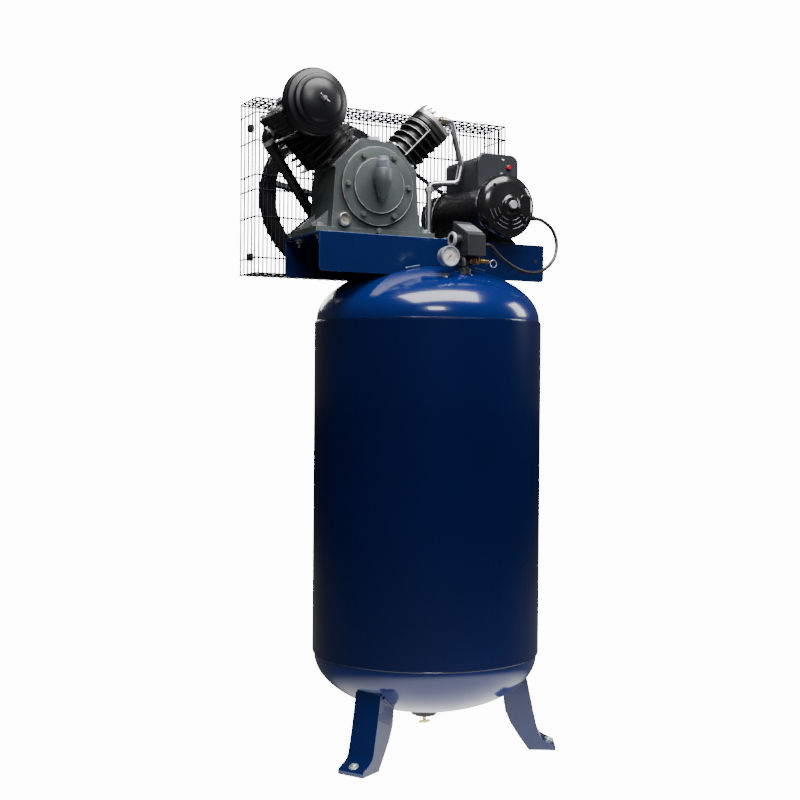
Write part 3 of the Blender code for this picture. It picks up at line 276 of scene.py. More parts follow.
# Painted highlight: pale lines along the cylinder fins' edges on their lit side, and along the high
# stage's rib.
FIN_EDGE_HIGHLIGHT = surface("fin_edge_painted_highlight", (0.66, 0.68, 0.67), (0.26, 0.27, 0.27), 0.42, metal=0.35, grain=500,
               depth=0.0002, patch=60)
ZINC = surface("zinc_plate", (0.66, 0.67, 0.7), (0.5, 0.51, 0.54), 0.28, metal=0.7, grain=500,
               depth=0.00006, patch=50)
BRASS = surface("brass", (0.78, 0.55, 0.2), (0.62, 0.4, 0.13), 0.26, metal=1.0, grain=450,
                depth=0.00008, patch=60)
OLIVE = surface("olive_brass", (0.4, 0.36, 0.22), (0.26, 0.24, 0.15), 0.34, metal=1.0, grain=450,
                depth=0.0001, patch=60)
COPPERY = surface("bronze_plug", (0.42, 0.25, 0.14), (0.26, 0.15, 0.09), 0.35, metal=1.0, grain=450,
                  depth=0.0001, patch=60)
RUBBER = surface("rubber", (0.014, 0.014, 0.014), (0.009, 0.009, 0.009), 0.62, grain=700,
                 depth=0.0002, patch=30)
CABLE = surface("cable_jacket", (0.016, 0.016, 0.017), (0.01, 0.01, 0.011), 0.33, grain=600,
                depth=0.00012, patch=30)
GREY_SHEET = surface("grey_sheet", (0.2, 0.21, 0.235), (0.15, 0.16, 0.18), 0.45, grain=500,
                     depth=0.0001, patch=30)
PALE = surface("pale_steel", (0.55, 0.58, 0.6), (0.42, 0.44, 0.46), 0.35, metal=0.25, grain=400,
               depth=0.00008, patch=60)
STEEL = surface("machined_steel", (0.52, 0.52, 0.53), (0.4, 0.4, 0.41), 0.32, metal=1.0, grain=400,
                depth=0.00008, patch=30)
RED = surface("red_plastic", (0.55, 0.012, 0.012), (0.42, 0.008, 0.008), 0.3, grain=600,
              depth=0.00006, patch=60)
DIAL = surface("dial_enamel", (0.86, 0.86, 0.85), (0.8, 0.8, 0.79), 0.35, grain=500, depth=0.00002,
               patch=60)
# Dark ink of the gauge marks, and also the painted shadow in the platform's hole.
INK_AND_HOLE_SHADOW = surface("dial_ink_and_hole_shadow", (0.015, 0.015, 0.017), (0.01, 0.01, 0.011), 0.5, grain=500, depth=0.00001,
              patch=60)
PAPER = surface("filter_paper", (0.66, 0.58, 0.42), (0.54, 0.46, 0.32), 0.85, grain=260,
                depth=0.0004, patch=30, stretch=(6, 1, 6))
OIL = surface("sight_window", (0.36, 0.34, 0.28), (0.24, 0.22, 0.17), 0.12, grain=300,
              depth=0.00004, patch=60, coat=1.0)
STEEL_DARK = surface("dark_pipe", (0.085, 0.085, 0.09), (0.045, 0.045, 0.05), 0.34, metal=0.8,
                     grain=400, depth=0.0002, patch=60)
# Painted highlight: the platform weld beads are lighter than the navy enamel.
WELD_HIGHLIGHT = surface("weld_bead_painted_highlight", (0.05, 0.065, 0.15), (0.008, 0.02, 0.08), 0.25, grain=260,
               depth=0.0008, patch=90, coat=0.6)
WHITE_PLUG = surface("plug_paint", (0.72, 0.72, 0.74), (0.6, 0.6, 0.62), 0.4, grain=400,
                     depth=0.0001, patch=60)
GREEN_BOLT = surface("painted_bolt", (0.16, 0.18, 0.165), (0.1, 0.115, 0.105), 0.34, metal=0.3,
                     grain=400, depth=0.0002, patch=60)


def clear_glass():
    made = surface("clear_glass", (0.95, 0.97, 0.97), (0.92, 0.95, 0.95), 0.04, grain=200,
                   depth=0.00001, patch=20, spread=0.02)
    shader = made.node_tree.nodes["Principled BSDF"]
    shader.inputs["Transmission Weight"].default_value = 1.0
    shader.inputs["IOR"].default_value = 1.45
    shader.inputs["Alpha"].default_value = 0.25
    return made


GLASS = clear_glass()

NODE_LOOKS = {
    "navy_paint": NAVY, "cast_green": GREEN, "black_paint": BLACK, "dark_plastic": PLASTIC,
    "steel": STEEL, "aluminium": CASTING, "brass": BRASS, "rubber": RUBBER, "glass": GLASS,
    "red": RED, "paper": PAPER,
}


def dress_nodes():
    """Every CAD node takes the full material of its slot."""
    for entry in frame["record"]["subparts"]:
        data = frame["nodes"][entry["node"]].data
        data.materials.clear()
        data.materials.append(NODE_LOOKS[entry["material_slot"]])


# ---------------------------------------------------------------- mesh tools


def looking(origin, x, z):
    """A matrix at origin whose local X and Z run along the given directions."""
    z = Vector(z).normalized()
    x = Vector(x).normalized()
    return Matrix.Translation(origin) @ Matrix((x, z.cross(x), z)).transposed().to_4x4()


def facing(origin, direction):
    turn = Vector((0, 0, 1)).rotation_difference(Vector(direction).normalized())
    return Matrix.Translation(origin) @ turn.to_matrix().to_4x4()


FRONT = (0, -1, 0)
UP = (0, 0, 1)
IDENTITY = Matrix.Identity(4)
FACE_ON = looking((0, 0, 0), (1, 0, 0), FRONT)
SIDE_ON = looking((0, 0, 0), (0, 1, 0), (1, 0, 0))
SHARP_ANGLE = math.radians(35)
BEVEL_ANGLE = math.radians(38)


def bridge(bm, one, other):
    """Quads between two rings of the same length, or a fan where a ring is one point."""
    count = max(len(one), len(other))
    if count == 1:
        return
    for i in range(count):
        j = (i + 1) % count
        if len(one) == 1:
            bm.faces.new((one[0], other[j], other[i]))
        elif len(other) == 1:
            bm.faces.new((one[i], one[j], other[0]))
        else:
            bm.faces.new((one[i], one[j], other[j], other[i]))


def lathe(bm, profile, where=IDENTITY, steps=64, closed=False):
    rings = []
    for radius, height in profile:
        if radius < 1e-6:
            rings.append([bm.verts.new(where @ Vector((0, 0, height)))])
            continue
        ring = []
        for i in range(steps):
            turn = math.tau * (i + 0.5) / steps
            spot = Vector((radius * math.cos(turn), radius * math.sin(turn), height))
            ring.append(bm.verts.new(where @ spot))
        rings.append(ring)
    pairs = list(zip(rings, rings[1:]))
    if closed:
        pairs.append((rings[-1], rings[0]))
    for one, other in pairs:
        bridge(bm, one, other)


def eased(radius, low, high, ease):
    """The profile of a plain disc or rod with both edges chamfered."""
    return [(0, high), (radius - ease, high), (radius, high - ease),
            (radius, low + ease), (radius - ease, low), (0, low)]


def rod(bm, start, end, radius, steps=24, ease=None):
    start, end = Vector(start), Vector(end)
    ease = min(radius * 0.15, 0.001) if ease is None else ease
    lathe(bm, eased(radius, 0, (end - start).length, ease), facing(start, end - start), steps)


def shrunk(outline, inset):
    """The outline moved inwards by inset, corner by corner."""
    result = []
    count = len(outline)
    area = sum(outline[i - 1][0] * outline[i][1] - outline[i][0] * outline[i - 1][1]
               for i in range(count))
    turn = 1 if area > 0 else -1
    for i in range(count):
        here = Vector(outline[i])
        a = (here - Vector(outline[i - 1])).normalized()
        b = (Vector(outline[(i + 1) % count]) - here).normalized()
        na, nb = Vector((-a.y, a.x)) * turn, Vector((-b.y, b.x)) * turn
        way = na + nb
        if way.length < 1e-6:
            way = na
        way = way.normalized()
        result.append(here + way * inset / max(way.dot(na), 0.4))
    return [(p.x, p.y) for p in result]


def slab(bm, outline, low, high, where=IDENTITY, ease=0.0):
    """An outline extruded along local Z, with both rims chamfered."""
    if ease:
        inner = shrunk(outline, ease)
        levels = [(inner, low), (outline, low + ease), (outline, high - ease), (inner, high)]
    else:
        levels = [(outline, low), (outline, high)]
    rings = [[bm.verts.new(where @ Vector((x, y, z))) for x, y in points] for points, z in levels]
    for one, other in zip(rings, rings[1:]):
        bridge(bm, one, other)
    bm.faces.new(rings[0][::-1])
    bm.faces.new(rings[-1])


def arc(centre, radius, start, end, steps):
    turns = [math.radians(start + (end - start) * i / steps) for i in range(steps + 1)]
    return [(centre[0] + radius * math.cos(t), centre[1] + radius * math.sin(t)) for t in turns]


def rounded(left, right, bottom, top, radii, steps=5):
    """A rectangle whose corner radii run bottom left, bottom right, top right, top left."""
    if not isinstance(radii, tuple):
        radii = (radii,) * 4
    corners = [(left, bottom, 1, 1, 180), (right, bottom, -1, 1, 270), (right, top, -1, -1, 0),
               (left, top, 1, -1, 90)]
    outline = []
    for (x, y, in_x, in_y, start), radius in zip(corners, radii):
        radius = max(radius, 1e-4)
        outline += arc((x + in_x * radius, y + in_y * radius), radius, start, start + 90, steps)
    return outline


def block(bm, low, high, ease=0.001, radius=0.0, where=IDENTITY):
    outline = rounded(low[0], high[0], low[1], high[1], radius, 4) if radius else [
        (low[0], low[1]), (high[0], low[1]), (high[0], high[1]), (low[0], high[1])]
    slab(bm, outline, low[2], high[2], where, ease)


def tube(bm, points, radius, sides=12, closed=False):
    """A round bar along the points; radius is one number or one for each point."""
    points = [Vector(p) for p in points]
    count = len(points)
    radii = radius if isinstance(radius, (list, tuple)) else [radius] * count
    ways = []
    for i in range(count):
        before = points[i - 1] if closed or i else points[i]
        after = points[(i + 1) % count] if closed or i < count - 1 else points[i]
        ways.append((after - before).normalized())
    across = ways[0].orthogonal().normalized()
    rings = []
    for i, (point, way) in enumerate(zip(points, ways)):
        if i:
            across = ways[i - 1].rotation_difference(way) @ across
        across = (across - way * across.dot(way)).normalized()
        up = way.cross(across)
        rings.append([
            bm.verts.new(point + (across * math.cos(math.tau * k / sides)
                                  + up * math.sin(math.tau * k / sides)) * radii[i])
            for k in range(sides)
        ])
    for one, other in zip(rings, rings[1:]):
        bridge(bm, one, other)
    if closed:
        best = min(range(sides), key=lambda k: (rings[-1][0].co - rings[0][k].co).length)
        bridge(bm, rings[-1], rings[0][best:] + rings[0][:best])
    else:
        bm.faces.new(rings[0][::-1])
        bm.faces.new(rings[-1])


def bent(corners, radius, steps=8):
    """A pipe's centre line: straight runs, and a bend of this radius at each corner."""
    corners = [Vector(corner) for corner in corners]
    line = [corners[0]]
    for before, here, after in zip(corners, corners[1:], corners[2:]):
        back, ahead = (before - here).normalized(), (after - here).normalized()
        half = back.angle(ahead) / 2
        centre = here + (back + ahead).normalized() * radius / math.sin(half)
        first = here + back * radius / math.tan(half) - centre
        last = here + ahead * radius / math.tan(half) - centre
        turn = first.rotation_difference(last)
        for i in range(steps + 1):
            step = turn.copy()
            step.angle = turn.angle * i / steps
            line.append(centre + step @ first)
    line.append(corners[-1])
    return line


def flowing(route, pieces):
    """A smooth line through the route's points."""
    route = [Vector(point) for point in route]
    ends = [route[0] * 2 - route[1], *route, route[-1] * 2 - route[-2]]
    line = []
    for a, b, c, d in zip(ends, ends[1:], ends[2:], ends[3:]):
        for i in range(pieces):
            t = i / pieces
            line.append(((b * 2) + (c - a) * t + (a * 2 - b * 5 + c * 4 - d) * t**2
                         + (b * 3 - a - c * 3 + d) * t**3) / 2)
    line.append(route[-1])
    return line


def hexagon(bm, place, direction, across, height, washer=0.0):
    """A hexagon head or nut with its corners eased, on a washer."""
    where = facing(place, direction)
    corner = across / 2 / math.cos(math.pi / 6)
    lift = 0.0
    if washer:
        lathe(bm, eased(washer, 0, 0.0014, 0.0003), where, 24)
        lift = 0.0012
    profile = [(0, lift + height), (corner * 0.84, lift + height), (corner, lift + height * 0.82),
               (corner, lift), (0, lift)]
    lathe(bm, profile, where, 6)


def dome(bm, place, direction, radius, height):
    profile = [(radius * math.cos(math.radians(a)), height * math.sin(math.radians(a)))
               for a in range(90, -1, -15)]
    profile[0] = (0, height)
    profile.append((0, 0))
    lathe(bm, profile, facing(place, direction), 24)


def put(name, bm, look, body=ROOT, stands_for=()):
    """Turns the mesh into a piece of the object that rides on its body."""
    bmesh.ops.recalc_face_normals(bm, faces=bm.faces)
    bmesh.ops.translate(bm, vec=AXIS, verts=bm.verts)
    data = bpy.data.meshes.new(name)
    bm.to_mesh(data)
    bm.free()
    data.materials.append(look)
    data.shade_smooth()
    data.set_sharp_from_angle(angle=SHARP_ANGLE)
    made = bpy.data.objects.new(name, data)
    bpy.context.scene.collection.objects.link(made)
    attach(made, body)
    if stands_for:
        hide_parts(*stands_for)
    return made


def hexagons(name, spots, direction, across, height, washer, look):
    """One piece made of a hexagon head at each spot."""
    heads = bmesh.new()
    for spot in spots:
        hexagon(heads, spot, direction, across, height, washer)
    put(name, heads, look)


def skin(node, bm, look, body=ROOT):
    """A piece that stands for the CAD node of its name."""
    return put(f"{node}_skin", bm, look, body, (node,))


def refined(node, look, width, edge_highlight):
    """A copy of a flat-sided CAD node with its corners rounded, and a painted highlight in a
    lighter material along them.
    """
    bm = bmesh.new()
    bm.from_mesh(frame["nodes"][node].data)
    bmesh.ops.remove_doubles(bm, verts=bm.verts, dist=1e-6)
    bmesh.ops.dissolve_limit(bm, angle_limit=math.radians(1.0), verts=bm.verts, edges=bm.edges)
    bmesh.ops.translate(bm, vec=-AXIS, verts=bm.verts)
    made = skin(node, bm, look)
    bevel = made.modifiers.new("soften", "BEVEL")
    bevel.width = width
    bevel.segments = 3
    bevel.limit_method = "ANGLE"
    bevel.angle_limit = BEVEL_ANGLE
    bevel.miter_outer = "MITER_ARC"
    made.data.materials.append(edge_highlight)
    bevel.material = 1


# ---------------------------------------------------------------- receiver


def head_height(x, y):
    """The top head's outer surface over a point."""
    inside = max(1 - (x * x + y * y) / HEAD_R**2, 0)
    return SHELL_TOP + HEAD_SKIRT + HEAD_RISE * math.sqrt(inside)


def tank():
    shell = bmesh.new()
    wall = TANK_WALL
    r = SHELL_R
    lathe(shell, [(r, SHELL_TOP - 0.0012), (r, SHELL_BOTTOM + 0.0012), (r - 0.0012, SHELL_BOTTOM),
                  (r - wall, SHELL_BOTTOM), (r - wall, SHELL_TOP), (r - 0.0012, SHELL_TOP)],
          steps=160, closed=True)
    skin("tank_shell", shell, NAVY)
    for name, z, side in (("top", SHELL_TOP, 1), ("bottom", SHELL_BOTTOM, -1)):
        head = bmesh.new()
        outer = [(HEAD_R * math.sin(t), HEAD_RISE * math.cos(t)) for t in
                 [math.radians(90 * i / 36) for i in range(37)]]
        inner = [((HEAD_R - wall) * math.sin(t), (HEAD_RISE - wall) * math.cos(t)) for t in
                 [math.radians(90 * i / 18) for i in range(19)]]
        lip = -HEAD_SKIRT - 0.019
        profile = outer + [(HEAD_R, lip), (HEAD_R - wall, lip)] + inner[::-1]
        where = facing((0, 0, z + side * HEAD_SKIRT), (0, 0, side))
        lathe(head, profile, where, 160)
        # The heads wear the lighter enamel: painted light, as if lit from above.
        skin(f"tank_{name}_head", head, LIT_DOME_NAVY)
        bead = bmesh.new()
        ripple = [Vector(((r - 0.003) * math.cos(t), (r - 0.003) * math.sin(t), z + side * 0.0008
                          + 0.0004 * math.sin(t * 90))) for t in
                  [math.tau * i / 360 for i in range(360)]]
        tube(bead, ripple, 0.0026, 8, closed=True)
        put(f"tank_{name}_seam", bead, NAVY)
    bung = bmesh.new()
    x, y = middle("switch_bung").x, middle("switch_bung").y
    z = head_height(x, y)
    lathe(bung, [(0.0108, z + 0.01), (0.0165, z + 0.01), (0.0175, z + 0.009), (0.0178, z - 0.012),
                 (0.0108, z - 0.012)], Matrix.Translation((x, y, 0)), 32, closed=True)
    skin("switch_bung", bung, STEEL_DARK)
    weld = bmesh.new()
    ring = [Vector((x + 0.0195 * math.cos(t), y + 0.0195 * math.sin(t), 0)) for t in
            [math.tau * i / 40 for i in range(40)]]
    for p in ring:
        p.z = head_height(p.x, p.y) + 0.0006
    tube(weld, ring, 0.0032, 8, closed=True)
    put("switch_bung_weld", weld, NAVY)


def legs():
    for name, azimuth in (("leg_left", -150), ("leg_right", -30), ("leg_rear", 90)):
        # Legs in the painted-lit navy, with a painted highlight on their rounded edges.
        refined(name, LIT_DECK_NAVY, 0.0032, NAVY_EDGE_HIGHLIGHT)
        turn = math.radians(azimuth)
        out = Vector((math.cos(turn), math.sin(turn), 0))
        side = Vector((-out.y, out.x, 0))
        bolt = bmesh.new()
        normal = (out * 0.42 + Vector((0, 0, 1))).normalized()
        seat = out * 0.3365 + Vector((0, 0, 0.0198))
        lathe(bolt, eased(0.0125, 0, 0.0018, 0.0004), facing(seat, normal), 32)
        dome(bolt, seat + normal * 0.0016, normal, 0.0092, 0.0068)
        put(f"{name}_bolt", bolt, ZINC)
        bead = bmesh.new()
        base = SHELL_BOTTOM - HEAD_SKIRT
        for half in (-0.0385, 0.0385):
            line = []
            for i in range(17):
                reach = 0.216 + (0.262 - 0.216) * i / 16
                inside = 1 - (reach**2 + half**2) / HEAD_R**2
                z = base - HEAD_RISE * math.sqrt(max(inside, 0)) - 0.0014
                line.append(out * reach + side * half + Vector((0, 0, z)))
            tube(bead, line, 0.0032, 8)
        put(f"{name}_weld", bead, NAVY)


def drain():
    low, high = local("drain_bung")
    boss = bmesh.new()
    lathe(boss, [(0, high.z), (0.036, high.z), (0.036, low.z + 0.004), (0.033, low.z), (0, low.z)],
          steps=8)
    put("drain_boss", boss, CAST, stands_for=("drain_bung",))
    body_low = local("drain_valve_body")[0]
    valve = bmesh.new()
    z = low.z - 0.0003
    hexagon(valve, (0, 0, z), (0, 0, -1), 0.0145, 0.0075)
    rod(valve, (0, 0, z - 0.007), (0, 0, body_low.z), 0.0052, 24)
    put("drain_petcock", valve, BRASS, stands_for=("drain_valve_body",))
    handle = bmesh.new()
    top = local("drain_valve_handle")[1].z
    lathe(handle, eased(0.0054, top - 0.009, top, 0.0008), steps=24)
    for side in (-1, 1):
        wing = rounded(0.003, 0.0165, top - 0.0088, top - 0.001, 0.0035, 5)
        if side < 0:
            wing = [(-x, y) for x, y in wing[::-1]]
        slab(handle, wing, -0.0014, 0.0014, FACE_ON, 0.0004)
    put("drain_wing_handle", handle, BRASS, "drain_handle", ("drain_valve_handle",))


# ---------------------------------------------------------------- platform and guard


def platform():
    # The platform in the painted-lit navy, with a painted highlight on its rounded edges.
    refined("platform", LIT_DECK_NAVY, 0.0026, NAVY_EDGE_HIGHLIGHT)
    low, high = local("platform")
    # Weld beads in a lighter blue: a painted highlight on them.
    weld = bmesh.new()
    for y, spans in ((low.y - 0.0004, ((-0.128, -0.088), (0.075, 0.11))),
                     (0.1134, ((-0.12, -0.06), (0.05, 0.11)))):
        for start, end in spans:
            line = []
            for i in range(15):
                x = start + (end - start) * i / 14
                line.append(Vector((x, y, head_height(x, y) + 0.0025 + 0.0005 * (i % 2))))
            tube(weld, line, 0.0036, 10)
    put("platform_welds", weld, WELD_HIGHLIGHT)
    bolts = bmesh.new()
    spots = [(CRANK.x + dx, y) for dx in (-0.152, 0.152) for y in (-0.067, 0.064)]
    spots += [(MOTOR.x + dx, y) for dx in (-0.052, 0.052) for y in MOTOR_FEET_Y]
    for x, y in spots:
        hexagon(bolts, (x, y, high.z - 0.006), (0, 0, -1), 0.0165, 0.0085, 0.0125)
        rod(bolts, (x, y, high.z - 0.018), (x, y, high.z - 0.027), 0.0045, 16)
    put("underside_nuts", bolts, ZINC)
    # A black disc on the platform's front stands for the hole: a painted shadow.
    hole = bmesh.new()
    lathe(hole, eased(0.0055, -0.0006, 0.0004, 0.0001), facing((0.271, low.y, 1.311), FRONT), 24)
    put("platform_hole_shadow", hole, INK_AND_HOLE_SHADOW)


BELT_ROW = 1.489
GUARD_ROWS = (1.693, 1.619, 1.528, BELT_ROW, 1.417, 1.308)
WIRE_R = 0.0021
UPRIGHTS = 66
CLEAR_OF_TANK = 0.2
TANK_NOTCH = 0.118
WHEEL_GAP, PULLEY_GAP = 0.052, 0.05


def guard():
    low, high = local("belt_guard")
    left, right = low.x + WIRE_R, high.x - WIRE_R
    front, back = low.y + WIRE_R, high.y - WIRE_R
    bottom, top = low.z + WIRE_R, high.z - WIRE_R
    mesh = bmesh.new()

    def wire(points):
        tube(mesh, points, WIRE_R, 6)

    for i in range(UPRIGHTS + 1):
        x = left + (right - left) * i / UPRIGHTS
        start = max(bottom, head_height(x, front) + 0.004) if abs(x) < 0.12 else bottom
        gaps = []
        if abs(x - CRANK.x) < WHEEL_GAP:
            gaps = [(1.417, 1.528)]
        if abs(x - MOTOR.x) < PULLEY_GAP:
            gaps = [(1.417, BELT_ROW)]
        edges = [start] + [z for gap in gaps for z in gap] + [top]
        for z0, z1 in zip(edges[::2], edges[1::2]):
            over = z1 == top and i % 2 == 0
            under = z0 == start and start == bottom and i % 2 == 0
            line = [(x, front, z0), (x, front, z1)]
            if over:
                line = line[:-1] + [(x, front, z1 - 0.003), (x, front + 0.003, z1), (x, back, z1)]
            if under:
                line = [(x, back, z0), (x, front + 0.003, z0), (x, front, z0 + 0.003)] + line[1:]
            wire(line)
    for z in (top, bottom, *GUARD_ROWS):
        if z == BELT_ROW:
            runs = [(left, CRANK.x - WHEEL_GAP), (CRANK.x + WHEEL_GAP, right)]
        elif z == bottom:
            runs = [(left, -TANK_NOTCH), (TANK_NOTCH, right)]
        else:
            runs = [(left, right)]
        for start, end in runs:
            line = []
            step = WIRE_R * 1.8
            if start == left:
                line += [(left, back, z), (left, front - step + 0.004, z),
                         (left + 0.004, front - step, z)]
            else:
                line += [(start, front - step, z)]
            if end == right:
                line += [(right - 0.004, front - step, z), (right, front - step + 0.004, z),
                         (right, back, z)]
            else:
                line += [(end, front - step, z)]
            wire(line)
    for y in (front + 0.028, front + 0.056, front + 0.084, back):
        for x in (left, right):
            inner = x + (WIRE_R if x == left else -WIRE_R)
            wire([(inner, y, bottom), (inner, y, top)])
        wire([(left, y, top - 0.002), (right, y, top - 0.002)])
        if y > CLEAR_OF_TANK:
            wire([(left, y, bottom + 0.002), (right, y, bottom + 0.002)])
    put("belt_guard_wires", mesh, WIRE, stands_for=("belt_guard",))
    clips = bmesh.new()
    for x, y, z in ((left + 0.004, front + 0.045, 1.657), (left + 0.004, front + 0.045, 1.312),
                    (right - 0.075, front, 1.64), (right - 0.075, front, 1.312)):
        block(clips, (x - 0.007, y - 0.008, z - 0.01), (x + 0.007, y + 0.008, z + 0.01), 0.002)
        rod(clips, (x, y - 0.011, z), (x, y + 0.011, z), 0.005, 12)
    put("belt_guard_clips", clips, PLASTIC)


# ---------------------------------------------------------------- pump


def bank(side, distance=0.0, u=0.0, y=BANK_Y):
    slope = math.sqrt(0.5)
    outwards = Vector((side * slope, 0, slope))
    lower = Vector((side * slope, 0, -slope))
    origin = Vector((CRANK.x, y, CRANK.z)) + outwards * distance + lower * u
    return looking(origin, lower, outwards)


def bank_point(side, distance, u, y):
    return bank(side, distance, u, y).translation


def crankcase():
    # A painted highlight in pale grey on the crankcase's rounded edges.
    refined("crankcase", GREEN, 0.003, GREEN_EDGE_HIGHLIGHT)
    high = local("crankcase")[1]
    spots = [(CRANK.x + dx, y, 1.3708) for dx in (-0.152, 0.152) for y in (-0.067, 0.044)]
    hexagons("crankcase_foot_bolts", spots, UP, 0.0165, 0.008, 0.0125, ZINC)
    # Thin pale pads on the left feet: a painted highlight.
    pad_highlights = bmesh.new()
    for y0, y1 in ((-0.08, -0.054), (0.03, 0.056)):
        block(pad_highlights, (CRANK.x - 0.167, y0, 1.3704), (CRANK.x - 0.137, y1, 1.3722), 0.0006, 0.006)
    put("crankcase_foot_pad_highlights", pad_highlights, GREEN_EDGE_HIGHLIGHT)
    cap = bmesh.new()
    lathe(cap, eased(0.0165, 0, 0.012, 0.0025), facing((CRANK.x + 0.004, -0.055, high.z - 0.001),
                                                      (0, 0, 1)), 32)
    put("crankcase_top_plug", cap, WHITE_PLUG)


COVER_BOLT_R = 0.0865


def front_cover():
    face = -local("front_cover")[0].y
    seat = face - 0.018
    where = facing((CRANK.x, 0, CRANK.z), FRONT)
    cover = bmesh.new()
    profile = [(0, face), (0.0665, face), (0.0695, face - 0.0008), (0.0712, face - 0.003),
               (0.0718, face - 0.0065), (0.073, face - 0.008), (0.098, face - 0.008),
               (0.1005, face - 0.0088), (0.1018, face - 0.0105), (0.1018, seat), (0.044, seat),
               (0.044, 0.0605), (0.0358, 0.0605), (0.0358, seat - 0.002), (0, seat - 0.002)]
    lathe(cover, profile, where, 96)
    skin("front_cover", cover, GREEN)
    # Pale rings at the cover's two rims: painted highlights.
    rim_highlights = bmesh.new()
    for reach, level in ((0.0702, face - 0.0002), (0.1008, face - 0.0086)):
        lathe(rim_highlights, [(reach - 0.0009, level - 0.0004), (reach, level + 0.0004),
                     (reach + 0.0009, level - 0.0008), (reach, level - 0.0016)],
              where, 96, closed=True)
    put("front_cover_rim_highlights", rim_highlights, GREEN_EDGE_HIGHLIGHT)
    turns = [math.radians(60 * i) for i in range(6)]
    spots = [(CRANK.x + COVER_BOLT_R * math.cos(t), -(face - 0.008),
              CRANK.z + COVER_BOLT_R * math.sin(t)) for t in turns]
    hexagons("front_cover_bolts", spots, FRONT, 0.0125, 0.0068, 0.0088, GREEN_BOLT)


def breather():
    low, high = local("breather_elbow")
    r = (high.x - low.x) / 2
    x, y, top = middle("breather_elbow").x, low.y + r, high.z
    elbow = bmesh.new()
    profile = [(0, top), (r - 0.0012, top), (r, top - 0.002), (r - 0.0006, top - 0.028)]
    for i in range(1, 13):
        t = i / 12
        profile.append((r - 0.0006 - (r - 0.0076) * t**1.25, top - 0.028 - 0.052 * t))
    profile.append((0, top - 0.08))
    lathe(elbow, profile, Matrix.Translation((x, y, 0)), 40)
    lathe(elbow, eased(0.015, 0.1012, -y - 0.001, 0.001), facing((x, 0, 1.492), FRONT), 32)
    for side in (-1, 1):
        rib = [(x + side * 0.0215, top - 0.003), (x + side * 0.0225, top - 0.032),
               (x + side * 0.0115, top - 0.074), (x + side * 0.006, top - 0.07),
               (x + side * 0.016, top - 0.003)]
        slab(elbow, rib if side < 0 else rib[::-1], -y - 0.002, -y + 0.002,
             FACE_ON, 0.0006)
    skin("breather_elbow", elbow, GREEN)
    cap = bmesh.new()
    cap_low, cap_high = local("breather_cap")
    rim = (cap_high.x - cap_low.x) / 2
    profile = [(0, cap_high.z), (rim - 0.005, cap_high.z), (rim - 0.0025, cap_high.z - 0.002),
               (rim - 0.002, cap_high.z - 0.009), (rim - 0.0004, cap_high.z - 0.011),
               (rim - 0.0004, cap_low.z + 0.003), (rim - 0.0015, cap_low.z), (0, cap_low.z)]
    lathe(cap, profile, Matrix.Translation((x, y, 0)), 40)
    for i in range(20):
        turn = math.tau * i / 20
        reach = rim - 0.0009
        spot = Vector((x + reach * math.cos(turn), y + reach * math.sin(turn), 0))
        rod(cap, (spot.x, spot.y, cap_low.z + 0.003), (spot.x, spot.y, cap_high.z - 0.012),
            0.0009, 8)
    skin("breather_cap", cap, LILAC)


def case_fittings():
    spot = middle("sight_glass")
    low, high = local("sight_glass")
    where = facing((spot.x, 0, spot.z), FRONT)
    ring = bmesh.new()
    face, seat = -low.y, -high.y
    lathe(ring, [(0.0118, face - 0.004), (0.0132, face), (0.016, face), (0.0174, face - 0.0014),
                 (0.0174, seat), (0.0118, seat)], where, 48, closed=True)
    put("sight_glass_ring", ring, ALUMINIUM, stands_for=("sight_glass",))
    window = bmesh.new()
    lathe(window, [(0, face - 0.0045), (0.0078, face - 0.0045), (0.0116, face - 0.0032),
                   (0.0116, seat + 0.001), (0, seat + 0.001)], where, 40)
    lathe(window, eased(0.0045, face - 0.0048, face - 0.003, 0.0004), where, 24)
    put("sight_glass_window", window, OIL)
    plug = bmesh.new()
    spot = middle("oil_drain_plug")
    hexagon(plug, (spot.x, local("oil_drain_plug")[1].y, spot.z), FRONT, 0.0148, 0.006, 0.0092)
    skin("oil_drain_plug", plug, GREEN_BOLT)


def fin_outline(half_u, half_y, steps=18):
    """The fin seen along the bank: its upper side is a half round, its lower side is square."""
    reach = min(half_u, half_y)
    round_side = arc((0, 0), reach, 90, 270, steps)
    outline = [(x * half_u / reach, y * half_y / reach) for x, y in round_side]
    outline += arc((half_u - 0.008, -half_y + 0.008), 0.008, 270, 360, 4)
    outline += arc((half_u - 0.008, half_y - 0.008), 0.008, 0, 90, 4)
    return outline


BANKS = {
    LOW_STAGE: {"name": "low_stage", "fin_u": 0.082, "fin_y": 0.07, "barrel": 0.056,
                "flange": 0.0545, "fins": 6, "top": 0.24},
    HIGH_STAGE: {"name": "high_stage", "fin_u": 0.051, "fin_y": 0.05, "barrel": 0.039,
                 "flange": 0.0475, "fins": 5, "top": 0.236},
}
HEAD_BASE = 0.2623
HEAD_FINS = 8
PORT_U = 0.008
BANK_FOOT = 0.1163


